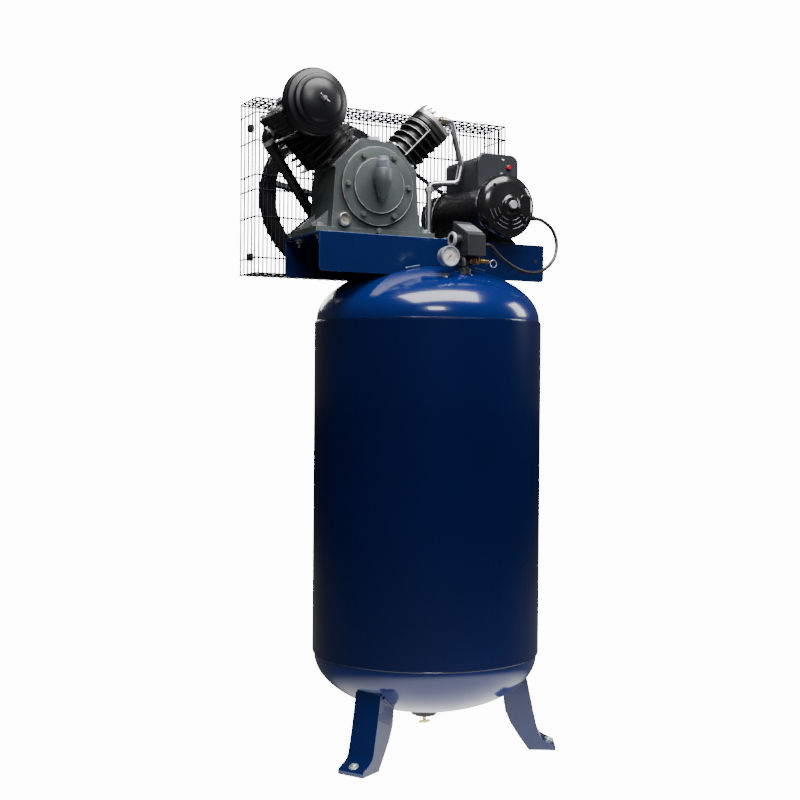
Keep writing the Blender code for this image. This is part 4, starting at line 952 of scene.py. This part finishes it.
def cylinder(side):
    size = BANKS[side]
    where = bank(side)
    foot = BANK_FOOT
    name = size["name"]
    body = bmesh.new()
    half = size["flange"]
    slab(body, rounded(-half, half, -half, half, 0.007, 4), foot, foot + 0.0115, where, 0.0012)
    lathe(body, [(size["barrel"], size["top"]), (size["barrel"], foot + 0.01),
                 (size["barrel"] - 0.014, foot + 0.01), (size["barrel"] - 0.014, size["top"])],
          where, 48, closed=True)
    outline = fin_outline(size["fin_u"], size["fin_y"])
    first, last = foot + 0.021, size["top"] - 0.0045
    # Pale tubes along the fin edges on the lit front side, wider on the low stage's upper side:
    # painted highlights.
    edges = bmesh.new()
    for i in range(size["fins"]):
        h = first + (last - first) * i / (size["fins"] - 1)
        thick = 0.0017 if i < size["fins"] - 1 else 0.0045
        slab(body, outline, h - thick, h + thick, where, 0.0007)
        rim = shrunk(outline, 0.0002)
        light = [p for p in rim if p[0] < (0.0 if side == LOW_STAGE else 0.04) and p[1] < 0.03]
        for level in ((h,) if i < size["fins"] - 1 else (h - 0.003, h + 0.003)):
            thickness = [0.0022 if side == LOW_STAGE and x < -0.02 else 0.0012 for x, y in light]
            tube(edges, [where @ Vector((x, y, level)) for x, y in light], thickness, 6)
    rib_y = -size["fin_y"] - 0.0004
    rib = [(-0.0035, rib_y), (0.0035, rib_y), (0.0035, rib_y + 0.012), (-0.0035, rib_y + 0.012)]
    slab(body, rib, foot + 0.012, size["top"], where, 0.0008)
    if side == LOW_STAGE:
        rim_u = size["fin_u"] - 0.0015
        web = [(0.05, foot + 0.012), (rim_u, first), (rim_u, last), (0.05, size["top"] - 0.001)]
        for y in (-0.02, 0.02):
            slab(body, web, -0.002, 0.002, where @ looking((0, y, 0), (1, 0, 0), FRONT), 0.0005)
    else:
        # The high stage's bright rib line is a painted highlight too.
        tube(edges, [where @ Vector((0, rib_y, foot + 0.016)),
                     where @ Vector((0, rib_y, size["top"] - 0.002))], 0.0014, 6)
    skin(f"{name}_cylinder", body, CAST)
    put(f"{name}_cylinder_fin_highlights", edges, FIN_EDGE_HIGHLIGHT)
    corners = (-half + 0.01, half - 0.01)
    spots = [where @ Vector((u, y, foot + 0.0115)) for u in corners for y in corners]
    hexagons(f"{name}_base_nuts", spots, where.to_3x3() @ Vector(UP), 0.012, 0.0065, 0.0085, ZINC)
    flange = bmesh.new()
    slab(flange, rounded(-half - 0.0015, half + 0.0015, -half - 0.0015, half + 0.0015, 0.007, 4),
         foot - 0.0002, foot + 0.0012, where, 0.0003)
    put(f"{name}_base_gasket", flange, CASTING if side == LOW_STAGE else CAST)


def head(side):
    size = BANKS[side]
    where = bank(side)
    up = where.to_3x3() @ Vector((0, 0, 1))
    name = size["name"]
    half_u, half_y = size["fin_u"], size["fin_y"]
    low_stage = side == LOW_STAGE
    outline = rounded(-half_u, half_u, -half_y, half_y, 0.01, 5)
    if not low_stage:
        outline = fin_outline(half_u, half_y)
    plate = bmesh.new()
    slab(plate, outline, size["top"] + 0.0048, 0.2523, where, 0.001)
    slab(plate, shrunk(outline, 0.0016), 0.2521, 0.2535, where, 0.0003)
    slab(plate, outline, 0.2533, 0.2619, where, 0.001)
    skin(f"{name}_valve_plate", plate, CAST)
    body = bmesh.new()
    bolts = bmesh.new()
    if low_stage:
        slab(body, outline, HEAD_BASE, HEAD_BASE + 0.012, where, 0.0016)
        for u0, u1, top in ((-0.078, 0.012, 0.312), (0.02, 0.079, 0.308)):
            chest = rounded(u0, u1, -half_y + 0.004, half_y - 0.004, 0.01, 5)
            slab(body, chest, HEAD_BASE + 0.01, top, where, 0.003)
            slab(body, shrunk(chest, -0.001), HEAD_BASE + 0.024, HEAD_BASE + 0.027, where, 0.001)
            for y in (-0.052, 0.052):
                for u in (u0 + 0.014, u1 - 0.014):
                    hexagon(bolts, where @ Vector((u, y, top - 0.001)), up, 0.0125, 0.0068, 0.0088)
        for y in (-0.058, 0.058):
            hexagon(bolts, where @ Vector((0.016, y, HEAD_BASE + 0.012)), up, 0.011, 0.007)
        skin(f"{name}_head", body, CAST)
    else:
        block_line = fin_outline(half_u, half_y - 0.006)
        roof = HEAD_BASE + 0.014
        slab(body, block_line, HEAD_BASE, roof, where, 0.0015)
        for i in range(HEAD_FINS):
            u = -half_u + 0.006 + (2 * half_u - 0.012) * i / (HEAD_FINS - 1)
            reach = (half_y - 0.01) * math.sqrt(max(1 - min(u / half_u, 0)**2, 0.16))
            if abs(u - PORT_U) >= 0.016:
                head_fin(body, u, reach, roof, where)
        skin(f"{name}_head", body, CASTING)
        for u in (-0.03, 0.041):
            for y in (-0.03, 0.03):
                hexagon(bolts, where @ Vector((u, y, roof)), up, 0.0105, 0.007)
    put(f"{name}_head_bolts", bolts, ZINC)


def head_fin(bm, u, reach, roof, where):
    """One upright fin of the high stage head, its top corners rounded."""
    profile = rounded(-reach, reach, roof - 0.002, roof + 0.0188, (0.0003, 0.0003, 0.007, 0.007), 4)
    slab(bm, profile, u - 0.0015, u + 0.0015, where @ SIDE_ON, 0.0005)


def air_filter():
    low, high = local("air_filter_cover")
    spot = middle("air_filter_cover")
    r = (high.x - low.x) / 2
    back = -local("air_filter_base")[1].y
    where = facing((spot.x, 0, spot.z), FRONT)
    nose = -low.y
    cover = bmesh.new()
    outside = [(0.0035, nose - 0.0004), (0.01, nose - 0.0006)]
    for i in range(1, 13):
        t = i / 12
        outside.append((0.01 + 0.042 * t, nose - 0.0006 - 0.012 * t**2.2))
    outside += [(0.054, nose - 0.0145), (0.0548, nose - 0.0178), (0.056, nose - 0.0192),
                (0.062, nose - 0.0206), (0.0655, nose - 0.0226), (0.0668, nose - 0.0262),
                (0.0674, nose - 0.0298), (0.069, nose - 0.0312), (0.077, nose - 0.0332),
                (0.0805, nose - 0.0356), (0.0815, nose - 0.039), (0.0822, nose - 0.043),
                (0.0838, nose - 0.0446), (r - 0.0006, nose - 0.0462), (r, nose - 0.049),
                (r, back + 0.0185)]
    inside = [(r - 0.002, back + 0.0185), (r - 0.002, nose - 0.049), (0.077, nose - 0.038),
              (0.054, nose - 0.02), (0.03, nose - 0.006), (0.0035, nose - 0.003)]
    lathe(cover, outside + inside, where, 96, closed=True)
    skin("air_filter_cover", cover, SATIN)
    pan = bmesh.new()
    profile = [(0, back + 0.074), (0.0029, back + 0.074), (0.0029, back + 0.014),
               (r - 0.005, back + 0.014), (r - 0.004, back + 0.0178), (r - 0.0004, back + 0.0178),
               (r, back + 0.0165), (r - 0.0004, back + 0.0105), (r - 0.01, back + 0.001),
               (r - 0.014, back), (0, back)]
    lathe(pan, profile, where, 96)
    put("air_filter_pan", pan, SATIN, stands_for=("air_filter_base",))
    neck = bmesh.new()
    rod(neck, (spot.x, -back - 0.001, spot.z), (spot.x + 0.02, -0.066, spot.z - 0.01), 0.03, 40)
    put("air_filter_neck", neck, CAST)
    nut = bmesh.new()
    base = nose + 0.0003
    lathe(nut, [(0, base + 0.0102), (0.0042, base + 0.0102), (0.005, base + 0.0092),
                (0.0066, base), (0, base)], where, 24)
    for side in (-1, 1):
        wing = [(0.003, base + 0.001), (0.0075, base + 0.002), (0.015, base + 0.0065),
                (0.0152, base + 0.0085), (0.0138, base + 0.0098), (0.0105, base + 0.0088),
                (0.003, base + 0.0072)]
        wing = [(spot.x + side * x, y) for x, y in (wing if side > 0 else wing[::-1])]
        slab(nut, [(x, -y) for x, y in wing[::-1]], spot.z - 0.0014, spot.z + 0.0014, ease=0.0004)
    bmesh.ops.rotate(nut, cent=(spot.x, 0, spot.z), verts=nut.verts,
                     matrix=Matrix.Rotation(math.radians(38), 3, "Y"))
    skin("filter_wing_nut", nut, ZINC, "wing_nut")


# ---------------------------------------------------------------- air lines


def air_lines():
    y = BANK_Y
    outlet_z = 1.687
    route = [(0.0425, y, outlet_z), (0.061, y, outlet_z), (0.096, y + 0.004, 1.57),
             (0.086, y + 0.006, 1.5235), (0.0, 0.0, 1.514), (0.0, 0.0, 1.3845)]
    pipe = bmesh.new()
    tube(pipe, bent(route, 0.016, 10), 0.0083, 24)
    put("discharge_pipe", pipe, ALUMINIUM, stands_for=("discharge_tube",))
    elbow = bmesh.new()
    foot = bank_point(HIGH_STAGE, 0.277, PORT_U, y)
    way = bank(HIGH_STAGE).to_3x3() @ Vector((0, 0, 1))
    hexagon(elbow, foot, way, 0.0228, 0.01)
    rod(elbow, foot + way * 0.008, foot + way * 0.027, 0.0098, 32)
    dome(elbow, foot + way * 0.026, way, 0.0098, 0.0045)
    rod(elbow, (0.0225, y, outlet_z), (0.034, y, outlet_z), 0.009, 32)
    hexagon(elbow, (0.03, y, outlet_z), (1, 0, 0), 0.0215, 0.0115)
    skin("discharge_elbow", elbow, OLIVE)
    valve = bmesh.new()
    low, high = local("check_valve")
    lathe(valve, [(0, high.z), (0.0095, high.z), (0.0105, high.z - 0.001),
                  (0.0105, high.z - 0.0055), (0, high.z - 0.0055)], steps=24)
    hexagon(valve, (0, 0, high.z - 0.016), UP, 0.029, 0.011)
    hexagon(valve, (0, 0, high.z - 0.03), UP, 0.024, 0.0085)
    rod(valve, (0, 0, low.z), (0, 0, high.z - 0.015), 0.01, 32)
    skin("check_valve", valve, ALUMINIUM)
    joint = bmesh.new()
    hexagon(joint, (0.0005, 0, 1.4935), UP, 0.0215, 0.013)
    rod(joint, (0.0, 0, 1.487), (0.0, 0, 1.4945), 0.01, 24)
    hexagon(joint, (0.036, 0.0025, 1.5178), (-1, 0, -0.1), 0.0215, 0.012)
    rod(joint, (0.026, 0.0018, 1.5168), (0.018, 0.0012, 1.516), 0.0102, 24)
    put("discharge_couplings", joint, ZINC)
    line = [(0.0145, -0.006, 1.364), (0.026, -0.03, 1.364), (0.022, -0.128, 1.362),
            (0.022, -0.142, 1.348)]
    thin = bmesh.new()
    tube(thin, bent(line, 0.007, 6), 0.003, 14)
    put("unloader_pipe", thin, ALUMINIUM, stands_for=("unloader_line",))
    nuts = bmesh.new()
    hexagon(nuts, (0.015, -0.007, 1.364), (0.43, -0.9, 0), 0.011, 0.008)
    hexagon(nuts, (0.022, -0.142, 1.348), (0, 0.7, 0.7), 0.011, 0.008)
    put("unloader_nuts", nuts, BRASS)
    fin_u = BANKS[LOW_STAGE]["fin_u"]
    begin = bank_point(LOW_STAGE, 0.2753, fin_u + 0.0004, 0.025)
    nose = bank_point(LOW_STAGE, 0.2753, fin_u + 0.021, 0.025)
    end = bank_point(HIGH_STAGE, 0.27, 0.018, BANKS[HIGH_STAGE]["fin_y"] + BANK_Y + 0.0003)
    route = [begin, nose, (-0.285, 0.1, 1.404), (-0.15, 0.112, 1.396), (-0.12, 0.112, 1.47),
             Vector((end.x, 0.1, end.z)), end]
    cross = bmesh.new()
    tube(cross, bent(route, 0.02, 8), 0.0136, 24)
    put("interstage_pipe", cross, BLACK, stands_for=("interstage_tube",))
    collars = bmesh.new()
    way = (Vector(route[2]) - nose).normalized()
    hexagon(collars, nose + way * 0.012, way, 0.03, 0.013)
    lower = bank(LOW_STAGE).to_3x3() @ Vector((1, 0, 0))
    hexagon(collars, begin, lower, 0.0285, 0.009)
    hexagon(collars, end + Vector((0, 0.001, 0)), (0, 1, 0), 0.029, 0.013)
    put("interstage_nuts", collars, ZINC)
    sleeve = bmesh.new()
    rod(sleeve, nose + way * 0.022, nose + way * 0.05, 0.015, 32)
    hexagon(sleeve, nose + way * 0.03, way, 0.0315, 0.014)
    put("interstage_sleeve", sleeve, BLACK)


# ---------------------------------------------------------------- drive


SPOKES = 7


def flywheel():
    low, high = local("flywheel")
    r = (high.x - low.x) / 2
    half = 0.018
    where = facing((CRANK.x, CRANK.y, CRANK.z), FRONT)
    wheel = bmesh.new()
    g = 0.0072
    profile = [(r - 0.0015, half), (r, half - 0.0015), (r, g), (r - 0.01, g - 0.0012),
               (r - 0.01, -g + 0.0012), (r, -g), (r, -half + 0.0015), (r - 0.0015, -half),
               (r - 0.032, -half), (r - 0.035, -half + 0.003), (r - 0.035, half - 0.003),
               (r - 0.032, half)]
    lathe(wheel, profile, where, 128, closed=True)
    lathe(wheel, [(0.034, 0.0205), (0.04, 0.018), (0.04, -0.018), (0.034, -0.0205),
                  (0.0168, -0.0205), (0.0168, 0.0205)], where, 64, closed=True)
    lean = Matrix.Rotation(math.radians(35), 4, "X")
    for i in range(SPOKES):
        turn = math.radians(170.0 + 360.0 * i / SPOKES)
        out = (math.cos(turn), 0, math.sin(turn))
        face = looking((CRANK.x, CRANK.y, CRANK.z), out, FRONT) @ lean
        blade = [(0.034, -0.0125), (0.06, -0.011), (r - 0.055, -0.011), (r - 0.03, -0.0135),
                 (r - 0.03, 0.0135), (r - 0.055, 0.011), (0.06, 0.011), (0.034, 0.0125)]
        slab(wheel, blade, -0.005, 0.005, face, 0.002)
    skin("flywheel", wheel, CAST, "flywheel_set")


def belt_loop(wheel, pulley):
    run = Vector((MOTOR.x - CRANK.x, MOTOR.z - CRANK.z))
    heading = math.degrees(math.atan2(run.y, run.x))
    wrap = math.degrees(math.acos((wheel - pulley) / run.length))
    return (arc((CRANK.x, CRANK.z), wheel, heading + wrap, heading + 360 - wrap, 96)
            + arc((MOTOR.x, MOTOR.z), pulley, heading - wrap, heading + wrap, 40))


def belt():
    wheel, pulley = 0.2114, 0.07
    rings = []
    strip = bmesh.new()
    y = MOTOR.y
    for sink, half in ((0.0016, 0.0062), (0.0094, 0.0046)):
        points = belt_loop(wheel - sink, pulley - sink)
        rings.append([[strip.verts.new((x, y + s * half, z)) for x, z in points] for s in (-1, 1)])
    (outer_front, outer_back), (inner_front, inner_back) = rings
    bridge(strip, outer_front, outer_back)
    bridge(strip, outer_back, inner_back)
    bridge(strip, inner_back, inner_front)
    bridge(strip, inner_front, outer_front)
    skin("drive_belt", strip, RUBBER)
    low, high = local("motor_pulley")
    r = (high.x - low.x) / 2
    where = facing((MOTOR.x, MOTOR.y, MOTOR.z), FRONT)
    wheel = bmesh.new()
    g = 0.007
    lathe(wheel, [(r - 0.001, 0.012), (r, 0.011), (r, g), (r - 0.0102, g - 0.001),
                  (r - 0.0102, -g + 0.001), (r, -g), (r, -0.011), (r - 0.001, -0.012),
                  (0.03, -0.012), (0.03, -0.0085), (0.0225, -0.0085), (0.0225, -0.012),
                  (0.0115, -0.012), (0.0115, 0.012), (0.0225, 0.012), (0.0225, 0.0085),
                  (0.03, 0.0085), (0.03, 0.012)], where, 96, closed=True)
    skin("motor_pulley", wheel, CAST, "motor_drive")


# ---------------------------------------------------------------- motor


def motor():
    low, high = local("motor_shell")
    r = 0.0735
    front, back = low.y, high.y
    where = facing((MOTOR.x, 0, MOTOR.z), FRONT)
    shell = bmesh.new()
    lathe(shell, [(r, -front), (r, -back), (r - 0.003, -back), (r - 0.003, -front)], where, 96,
          closed=True)
    for y in MOTOR_FEET_Y:
        foot = [(MOTOR.x - 0.062, low.z), (MOTOR.x + 0.062, low.z),
                (MOTOR.x + 0.062, low.z + 0.005),
                (MOTOR.x + 0.05, low.z + 0.011), (MOTOR.x + 0.046, MOTOR.z - 0.06),
                (MOTOR.x, MOTOR.z - r + 0.001), (MOTOR.x - 0.046, MOTOR.z - 0.06),
                (MOTOR.x - 0.05, low.z + 0.011), (MOTOR.x - 0.062, low.z + 0.005)]
        slab(shell, foot, -y - 0.016, -y + 0.016, FACE_ON, 0.001)
    skin("motor_shell", shell, BLACK)
    bell = bmesh.new()
    f = -front + 0.0003
    outer = (local("motor_front_bell")[1].x - local("motor_front_bell")[0].x) / 2
    profile = [(0.0113, f + 0.06), (0.019, f + 0.06), (0.0225, f + 0.0585), (0.0255, f + 0.054),
               (0.028, f + 0.0528), (0.059, f + 0.0488), (0.064, f + 0.0474), (0.072, f + 0.0436),
               (0.078, f + 0.0396), (0.0828, f + 0.034), (outer - 0.001, f + 0.029),
               (outer, f + 0.027), (outer, f + 0.0145), (outer - 0.001, f + 0.0125),
               (0.0775, f + 0.0025), (0.0765, f), (0.069, f), (0.069, f + 0.03),
               (0.024, f + 0.043), (0.0113, f + 0.043)]
    lathe(bell, profile, where, 96, closed=True)
    skin("motor_front_bell", bell, GLOSS)
    # Thin pale arcs on the bell's lower half: painted highlights on the vent slots' edges.
    vent_highlights = bmesh.new()
    for reach in (0.04, 0.051, 0.062):
        rise = f + 0.0531 - (reach - 0.028) * 0.129
        for start, end in ((-168, -142), (-130, -98), (-82, -50), (-38, -12)):
            slot = arc((MOTOR.x, MOTOR.z), reach, start, end, 10)
            tube(vent_highlights, [(x, -rise, z) for x, z in slot], 0.0011, 6)
    put("motor_vent_highlights", vent_highlights, BOX_EDGE_HIGHLIGHT)
    turns = [math.radians(turn) for turn in (-48, -132, 48, 132)]
    spots = [(MOTOR.x + 0.07 * math.cos(t), -f - 0.044, MOTOR.z + 0.07 * math.sin(t))
             for t in turns]
    hexagons("motor_through_bolts", spots, FRONT, 0.0075, 0.004, 0.0, BLACK)
    plate = bmesh.new()
    slab(plate, rounded(MOTOR.x + 0.03, MOTOR.x + 0.062, MOTOR.z - 0.026, MOTOR.z + 0.03, 0.01, 5),
         f + 0.046, f + 0.0535, FACE_ON, 0.002)
    put("motor_terminal_cover", plate, BLACK)
    rear = bmesh.new()
    b = -back - 0.0003
    lathe(rear, [(0.0765, b), (0.0765, b - 0.007), (0.074, b - 0.011), (0.068, b - 0.0165),
                 (0.03, b - 0.0218), (0.0115, b - 0.0218), (0.0115, b - 0.012), (0.062, b - 0.01),
                 (0.0695, b)], where, 96, closed=True)
    skin("motor_rear_bell", rear, BLACK)
    cap = bmesh.new()
    face = -local("motor_rotor")[0].y
    lathe(cap, [(0, face + 0.0008), (0.0098, face + 0.0008), (0.0113, face - 0.0006),
                (0.0113, face - 0.0066), (0, face - 0.0066)], where, 40)
    put("motor_shaft_cap", cap, PALE, "motor_drive")
    spots = [(MOTOR.x + dx, y, low.z + 0.0075) for dx in (-0.054, 0.054) for y in MOTOR_FEET_Y]
    hexagons("motor_foot_bolts", spots, UP, 0.0115, 0.0065, 0.0072, ZINC)


def motor_box():
    low, high = local("motor_box")
    foot = 1.4885
    left, right, top = low.x + 0.001, high.x - 0.001, high.z - 0.007
    box = bmesh.new()
    slab(box, rounded(left, right, foot, top, (0.0005, 0.0005, 0.018, 0.018), 8), -high.y,
         -low.y - 0.0115, FACE_ON, 0.003)
    slab(box, rounded(low.x, high.x, foot, high.z, (0.0005, 0.0005, 0.024, 0.024), 8),
         -low.y - 0.012, -low.y, FACE_ON, 0.0026)
    skin("motor_box", box, BOX_PLASTIC)
    # Pale lines along the lid's front edges: painted highlights.
    lid_highlights = bmesh.new()
    line = rounded(low.x + 0.0014, high.x - 0.0014, foot, high.z - 0.0014,
                   (0.0005, 0.0005, 0.0226, 0.0226), 8)
    for level in (low.y + 0.0012, low.y + 0.0112):
        tube(lid_highlights, [(x, level, z) for x, z in line if z > foot + 0.02], 0.0011, 6)
    put("motor_box_lid_highlights", lid_highlights, BOX_EDGE_HIGHLIGHT)
    screws = bmesh.new()
    dome(screws, (0.185, low.y + 0.0002, 1.583), FRONT, 0.004, 0.0024)
    put("motor_box_screws", screws, ZINC)
    clip = bmesh.new()
    block(clip, (0.1755, low.y - 0.0016, 1.541), (0.1835, low.y + 0.001, 1.55), 0.0006)
    rod(clip, (0.1795, low.y - 0.001, 1.5455), (0.1795, low.y - 0.0028, 1.5455), 0.0022, 16)
    put("motor_box_clip", clip, ZINC)
    spot = middle("reset_button")
    button = bmesh.new()
    front = local("reset_button")[0].y
    rod(button, (spot.x, low.y + 0.002, spot.z), (spot.x, front, spot.z), 0.0062, 32, 0.0014)
    skin("reset_button", button, RED, "reset_plunger")
    bezel = bmesh.new()
    lathe(bezel, [(0.0068, 0.0), (0.0068, 0.0016), (0.0082, 0.0012), (0.0088, 0.0)],
          facing((spot.x, low.y + 0.0004, spot.z), FRONT), 32, closed=True)
    put("reset_button_bezel", bezel, PLASTIC)


# ---------------------------------------------------------------- controls


def controls():
    base_low, base_high = local("pressure_switch_base")
    left, right = -0.008, 0.045
    front, back = base_low.y, base_high.y
    foot = base_high.z + 0.0003
    base = bmesh.new()
    block(base, (left, front, base_low.z), (right, back, base_high.z), 0.0012)
    put("switch_base_skin", base, PLASTIC, stands_for=("pressure_switch_base",))
    cover = bmesh.new()
    outline = [(front, foot), (back, foot), (back, 1.3965), (back - 0.002, 1.398),
               (front + 0.002, 1.3592), (front, 1.357)]
    slab(cover, outline, left, right, SIDE_ON, 0.0016)
    put("switch_cover_skin", cover, PLASTIC, stands_for=("pressure_switch_cover",))
    slope = Vector((0, back - front, 0.0388)).normalized()
    screw = bmesh.new()
    normal = Vector((0, -slope.z, slope.y))
    seat = Vector(((left + right) / 2, (front + back) / 2, (1.3592 + 1.398) / 2 + 0.0003))
    dome(screw, seat, normal, 0.0042, 0.0022)
    put("switch_cover_screw", screw, PALE)
    sheet = bmesh.new()
    across = looking(seat, (1, 0, 0), normal)
    slab(sheet, rounded(-0.0245, 0.0245, -0.03, 0.03, 0.002, 3), -0.0002, 0.0002, across, 0.0001)
    put("switch_cover_sheet", sheet, GREY_SHEET)
    conduit = bmesh.new()
    where = facing((left - 0.0002, -0.184, 1.346), (-1, 0, 0))
    lathe(conduit, [(0.0118, 0.0264), (0.015, 0.0268), (0.018, 0.0262), (0.0188, 0.025),
                    (0.0188, 0.02), (0.018, 0.0192), (0.0118, 0.0192)], where, 48, closed=True)
    for i in range(6):
        turn = math.tau * i / 6
        out = where.to_3x3() @ Vector((math.cos(turn), math.sin(turn), 0))
        away = where.to_3x3() @ Vector((0, 0, 1))
        block(conduit, (-0.0016, -0.0022, 0.0192), (0.0006, 0.0022, 0.0266), 0.0004, 0.0,
              looking(where.translation + out * 0.0184, out, away))
    put("switch_conduit_ring", conduit, PALE)
    dark = bmesh.new()
    lathe(dark, [(0.0106, 0.0262), (0.0117, 0.0262), (0.0117, 0.019), (0.0139, 0.0188),
                 (0.0139, 0.0), (0.0106, 0.0)], where, 40, closed=True)
    lathe(dark, eased(0.0105, 0.0002, 0.012, 0.0004), where, 32)
    put("switch_conduit_bush", dark, PLASTIC)
    gland = bmesh.new()
    lathe(gland, [(0, 0.0078), (0.0062, 0.0078), (0.0072, 0.007), (0.008, 0.004), (0.0085, 0.0036),
                  (0.0085, 0.0), (0, 0.0)], facing((right + 0.0003, -0.205, 1.334), (1, 0, 0)), 32)
    skin("lead_gland", gland, PLASTIC)
    lead()
    manifold()
    gauge()
    safety_valve()


def lead():
    route = [(0.055, -0.205, 1.334), (0.072, -0.206, 1.331), (0.097, -0.21, 1.306),
             (0.141, -0.206, 1.282), (0.192, -0.196, 1.271), (0.246, -0.182, 1.279),
             (0.291, -0.168, 1.311), (0.31, -0.156, 1.354), (0.301, -0.149, 1.394),
             (0.272, -0.143, 1.418), (0.2405, -0.14, 1.424)]
    cable = bmesh.new()
    tube(cable, flowing(route, 8), 0.0047, 16)
    skin("motor_lead", cable, CABLE)
    boot = bmesh.new()
    rod(boot, (0.2325, -0.1391, 1.4249), (0.248, -0.1404, 1.423), 0.0072, 24, 0.0015)
    put("motor_lead_bush", boot, PLASTIC)


def manifold():
    x, y = middle("switch_bung").x, middle("switch_bung").y
    top = local("manifold")[1].z
    pipe = bmesh.new()
    rod(pipe, (x, y, 1.2405), (x, y, 1.27), 0.0102, 32)
    lathe(pipe, [(0, top), (0.0118, top), (0.0124, top - 0.0015), (0.0124, 1.2765), (0.0112, 1.275),
                 (0.0085, 1.2742), (0.0085, 1.269), (0, 1.269)], Matrix.Translation((x, y, 0)), 40)
    hexagon(pipe, (x, y, 1.269), UP, 0.0205, 0.006)
    gauge_z, valve_z = 1.2955, 1.2925
    gx = middle("gauge_case").x
    rod(pipe, (x, y, gauge_z), (gx + 0.004, y, gauge_z), 0.0063, 24)
    rod(pipe, (gx, y - 0.001, gauge_z), (gx, -0.2015, gauge_z), 0.0059, 24)
    hexagon(pipe, (gx, y + 0.006, gauge_z), FRONT, 0.015, 0.012)
    rod(pipe, (x, y, valve_z), (0.0296, y, valve_z), 0.0059, 24)
    rod(pipe, (x + 0.0175, y + 0.008, 1.2905), (x + 0.0175, y - 0.0105, 1.2905), 0.0088, 24)
    skin("manifold", pipe, STEEL_DARK)
    plug = bmesh.new()
    tee = x + 0.0175
    hexagon(plug, (tee, y - 0.01, 1.2905), FRONT, 0.0205, 0.007)
    rod(plug, (tee, y - 0.0165, 1.2905), (tee, y - 0.0215, 1.2905), 0.0062, 24, 0.001)
    put("manifold_plug", plug, COPPERY)
    neck = bmesh.new()
    lathe(neck, [(0.0104, 1.244), (0.0158, 1.244), (0.0166, 1.246), (0.0158, 1.2482),
                 (0.0104, 1.2482)], Matrix.Translation((x, y, 0)), 40, closed=True)
    put("manifold_collar", neck, ZINC)


def gauge():
    low, high = local("gauge_case")
    spot = middle("gauge_case")
    centre = Vector((spot.x, -0.23, spot.z))
    where = facing(centre, FRONT)
    r = (high.x - low.x) / 2
    case = bmesh.new()
    lathe(case, [(r - 0.0045, -0.004), (r - 0.0036, 0.0016), (r - 0.0024, 0.002),
                 (r - 0.0006, 0.0014), (r, -0.0002), (r, -0.0095), (r - 0.0012, -0.011),
                 (r - 0.0016, -0.025), (r - 0.0045, -0.028), (0, -0.028), (0, -0.004)], where, 72)
    skin("gauge_case", case, ZINC)
    face = bmesh.new()
    lathe(face, eased(r - 0.0046, -0.0045, -0.0034, 0.0001), where, 64)
    put("gauge_dial", face, DIAL)
    marks = bmesh.new()
    for i in range(31):
        turn = math.radians(225 - 270 * i / 30)
        half, wide = (0.0022, 0.00035) if i % 5 == 0 else (0.0012, 0.0002)
        out = Vector((math.cos(turn), 0, math.sin(turn)))
        hold = centre + Vector((0, 0.0034, 0)) + out * (r - 0.0062 - half)
        slab(marks, [(-half, -wide), (half, -wide), (half, wide), (-half, wide)],
             -0.0002, 0.0002, looking(hold, out, FRONT))
    put("gauge_marks", marks, INK_AND_HOLE_SHADOW)
    arc_red = bmesh.new()
    band = arc((0, 0), r - 0.0112, -45, 10, 14) + arc((0, 0), r - 0.0124, 10, -45, 14)
    slab(arc_red, band, -0.0034, -0.0031, looking(centre, (1, 0, 0), FRONT))
    put("gauge_red_band", arc_red, RED)
    lens = bmesh.new()
    lathe(lens, [(0, 0.0022), (0.012, 0.002), (r - 0.0049, 0.0012), (r - 0.0049, 0.0003),
                 (0, 0.0003)], where, 64)
    skin("gauge_lens", lens, GLASS)
    pointer = bmesh.new()
    aim = looking(centre, (-math.sqrt(0.5), 0, -math.sqrt(0.5)), FRONT)
    slab(pointer, [(-0.0075, -0.0012), (0.0, -0.0009), (0.0168, -0.0003), (0.0168, 0.0003),
                   (0.0, 0.0009), (-0.0075, 0.0012)], -0.0022, -0.0016, aim, 0.0001)
    lathe(pointer, eased(0.0021, -0.003, -0.0008, 0.0003), where, 24)
    skin("gauge_needle", pointer, RED, "gauge_pointer")


def safety_valve():
    low, high = local("safety_valve_body")
    y = middle("switch_bung").y
    z = (low.z + high.z) / 2
    body = bmesh.new()
    hexagon(body, (low.x, y, z), (1, 0, 0), 0.016, 0.0152)
    where = facing((low.x, y, z), (1, 0, 0))
    lathe(body, [(0.0034, 0.0428), (0.006, 0.0428), (0.0069, 0.0416), (0.007, 0.033),
                 (0.0062, 0.032), (0.0062, 0.0295), (0.007, 0.0285), (0.007, 0.019),
                 (0.0052, 0.0175), (0.0052, 0.0145), (0.0034, 0.0145)], where, 40, closed=True)
    put("safety_valve_skin", body, BRASS, stands_for=("safety_valve_body",))
    ring = bmesh.new()
    rod(ring, (0.0615, y, z), (0.0812, y, z), 0.0026, 16)
    loop = [Vector((0.089 + 0.0095 * math.cos(t), y, z - 0.004 + 0.0095 * math.sin(t))) for t in
            [math.tau * i / 48 for i in range(48)]]
    tube(ring, loop, 0.0013, 10, closed=True)
    put("safety_ring_skin", ring, ZINC, "safety_ring", ("safety_valve_ring",))


camera()
stage()
dress_nodes()
tank()
legs()
drain()
platform()
guard()
crankcase()
front_cover()
breather()
case_fittings()
for bank_side in (LOW_STAGE, HIGH_STAGE):
    cylinder(bank_side)
    head(bank_side)
air_filter()
air_lines()
flywheel()
belt()
motor()
motor_box()
controls()
